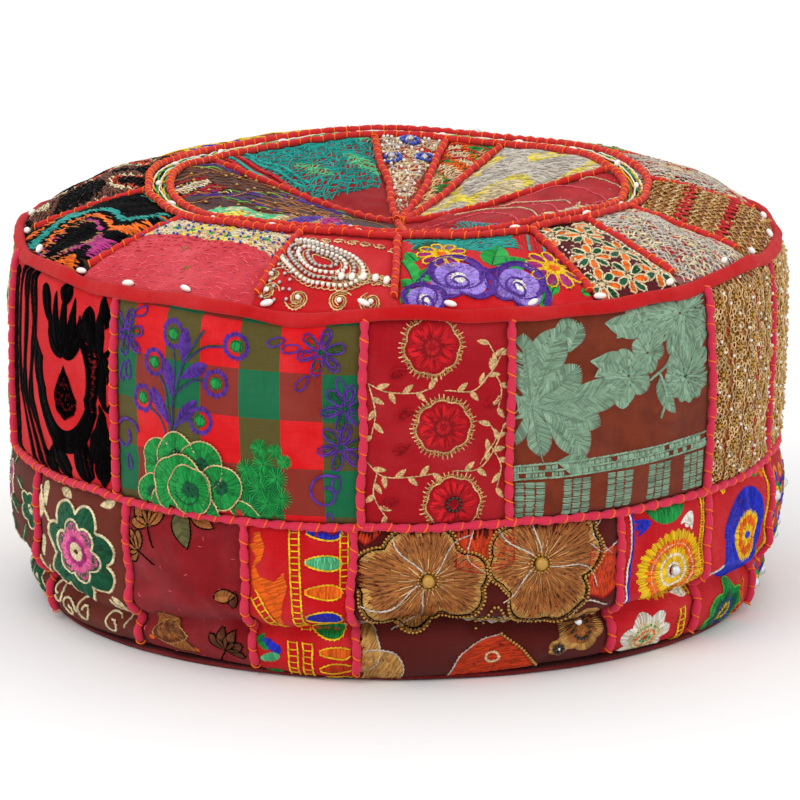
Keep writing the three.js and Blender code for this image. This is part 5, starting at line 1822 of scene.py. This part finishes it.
def halfDisc(name, side, radius, low, material, thick, grow=0.0, slot=True):
    x = linspace(-1, 1, 150) * radius
    x = np.sign(x) * radius * sin(np.abs(x) / radius * pi / 2)
    t = linspace(0, 1, 60) ** 1.5
    X, T = meshgrid(x, t)
    inner = np.where((np.abs(X) < basePart["slotEnd"]) & slot, basePart["slot"], 0.6)
    reach = np.sqrt(maximum(radius ** 2 - X ** 2, 0.01))
    inner = np.minimum(inner, reach * 0.9)
    Y = inner + (reach - inner) * T
    drift = 0.35 * sin(X / 17) * sin(Y / 13) * (pocketRise(X, Y, 6) < 0.01)
    Z = low + pocketRise(X, Y, grow) + np.abs(drift) * (Y > 30)
    P = joined(X, side * Y, Z)
    faces = [quad if side < 0 else quad[::-1] for quad in gridFaces(*X.shape)]
    obj = makeMesh(name, P.reshape(-1, 3), faces, joined(X, Y).reshape(-1, 2), material)
    solid = obj.modifiers.new("thickness", "SOLIDIFY")
    solid.thickness = thick * mm
    solid.offset = -1
    return obj


baseCotton = clothMaterial("baseCotton", "7a1a1c", mottled("641416", 30), 0.9, 0.5)
for label, side in (("left", -1), ("right", 1)):
    panel = halfDisc("basePanel_" + label, side, basePart["radius"], 0.1, baseCotton, basePart["thick"])
    sewn(panel, "base_cloth", "base_panel_" + label)
for name, side, nodes in (("linerBaseLayer", -1, ["liner_base"]), ("linerBaseHalf", 1, [])):
    sewn(halfDisc(name, side, basePart["radius"] - 10, 2.6, muslinCotton, 1.0, 5.0, False), "muslin", *nodes)


def baseStitches():
    groups = []
    x = arange(-138, 138, 4.2)
    for side in (-1, 1):
        for y in (9.0, 12.0):
            a = joined(x, side * y, 5.95)
            mid = a + (1.3, 0, -0.25)
            groups.append((np.stack([a, mid, a + (2.6, 0, 0)], 1), 0.28, 0))
    t = np.radians(arange(0, 360, 1.35))
    r = basePart["radius"] - 4
    p = joined(r * cos(t), r * sin(t), 0.3)
    q = joined(r * cos(t + 0.013), r * sin(t + 0.013), 0.3)
    groups.append((np.stack([p, (p + q) / 2 - (0, 0, 0.08), q], 1), 0.22, 1))
    # a bar of close stitches over each end of the opening
    x = concatenate([arange(138.6, 147, 0.5), -arange(138.9, 147, 0.5)])
    bar = np.stack([joined(x, y, z) for y, z in ((-8, 5.9), (0, 5.5), (8, 5.9))], 1)
    groups.append((bar, 0.3, 1))
    sewn(layThreads("baseStitches", groups, [threadMaterial("rust", 0), threadMaterial("crimson", 2)], 5), "base_cloth")


baseStitches()


# Zip: woven tapes, coils made of bent hoops, brass slider, pull and stop
def metalMaterial(name, colour, dark, rough):
    material, tree, shader = newMaterial(name)
    place = objectPlace(tree)
    wear = noiseNode(tree, place, 260, 5, 0.65)
    fine = noiseNode(tree, place, 2200, 2)
    feed(tree, shader, {"Base Color": mixColour(tree, wear, srgb(dark), srgb(colour)), "Metallic": 0.95,
                        "Roughness": mathNode(tree, "MULTIPLY_ADD", fine, 0.25, rough),
                        "Normal": bumpNode(tree, fine, 0.25, 0.0002)})
    return material


def tapeMaterial():
    material, tree, shader = newMaterial("zipTapeTwill")
    m = partial(mathNode, tree)
    x, y, _ = apart(tree, objectPlace(tree))
    slope = m("ADD", x, m("ABSOLUTE", y))
    # painted shade: the grooves between the twill ribs are painted darker and the ridges lighter, from the same wave
    # that makes the bump
    ribHeightAndShade = m("MULTIPLY_ADD", m("SINE", m("MULTIPLY", slope, 2 * pi / (1.1 * mm))), 0.5, 0.5)
    feed(tree, shader, {"Base Color": mixColour(tree, ribHeightAndShade, srgb("4c1416"), srgb("74262a")),
                        "Normal": bumpNode(tree, ribHeightAndShade, 0.5, 0.0003), "Roughness": 0.8})
    return material


def dress(nodeName, material):
    # nicer material on a CAD piece that keeps its shape
    for holder in bpy.data.objects[nodeName].material_slots:
        holder.material = material


brass = metalMaterial("agedBrass", "b98d45", "6e5026", 0.28)
tape = tapeMaterial()
for nodeName in ("zip_slider", "zip_pull", "zip_end_stop"):
    dress(nodeName, brass)
for nodeName in ("zip_tape_left", "zip_tape_right"):
    dress(nodeName, tape)


def zipCoil(label):
    low, high = boxOf("zip_coil_" + label)
    middle = (low + high) / 2
    radius = (high[2] - low[2]) / 2
    x = arange(low[0] + 1, high[0] - 0.5, 1.35)
    phi = linspace(0, 2 * pi, 9)
    ring = joined(0.34 * phi / pi, cos(phi) * radius * 0.82, sin(phi) * radius * 0.82)
    pts = joined(x, middle[1], middle[2])[:, None] + ring[None]
    core = joined(linspace(low[0], high[0], 9), middle[1], middle[2])[None]
    groups = [(pts, 0.36, 0), (core, 0.45, 0)]
    sewn(layThreads("zipCoil_" + label, groups, [threadMaterial("crimson", 0)], 6), "zip_coil", "zip_coil_" + label)


for label in ("left", "right"):
    zipCoil(label)
print("layers, base and zip done")
# Floor, light and camera
def lookAt(obj, target):
    direction = array(target) - array(obj.location)
    yaw = math.atan2(direction[1], direction[0]) - pi / 2
    pitch = math.atan2(direction[2], math.hypot(direction[0], direction[1])) + pi / 2
    obj.rotation_euler = (pitch, 0, yaw)


studio = {"distance": 3.71, "rise": 13.93, "aim": (0.0013, 0, 0.1006), "lens": 314.4, "floorShade": 0.92, "sky": 1.0}


def makeStudio():
    material, tree, shader = newMaterial("paleFloor")
    feed(tree, shader, {"Base Color": (*[studio["floorShade"]] * 3, 1), "Roughness": 0.9})
    bpy.ops.mesh.primitive_plane_add(size=14, location=(0, 0, -0.0004))
    floor = bpy.context.active_object
    floor.name = "studioFloor"
    floor.data.materials.append(material)
    world = bpy.data.worlds.new("studioSky")
    bpy.context.scene.world = world
    world.use_nodes = True
    sky = world.node_tree.nodes["Background"]
    sky.inputs[0].default_value = (1, 1, 1, 1)
    sky.inputs[1].default_value = studio["sky"]
    for name, place, size, power in (("keyLight", (-1.2, -1.6, 2.2), 1.4, 14), ("fillLight", (1.9, -1.1, 1.4), 2.0, 4),
                                     ("topLight", (0, 0.6, 2.4), 1.8, 6)):
        light = bpy.data.lights.new(name, "AREA")
        light.size = size
        light.energy = power
        lamp = addObject(name, light)
        lamp.location = place
        lookAt(lamp, (0, 0, 0.1))
    camera = bpy.data.cameras.new("camera")
    camera.lens = studio["lens"]
    camera.sensor_width = 36
    camera.clip_end = 30
    eye = addObject("camera", camera)
    rise = radians(studio["rise"])
    x, y, z = studio["aim"]
    eye.location = (x, y - studio["distance"] * math.cos(rise), z + studio["distance"] * math.sin(rise))
    lookAt(eye, studio["aim"])
    bpy.context.scene.camera = eye
    bpy.context.scene.view_settings.view_transform = "Standard"


makeStudio()
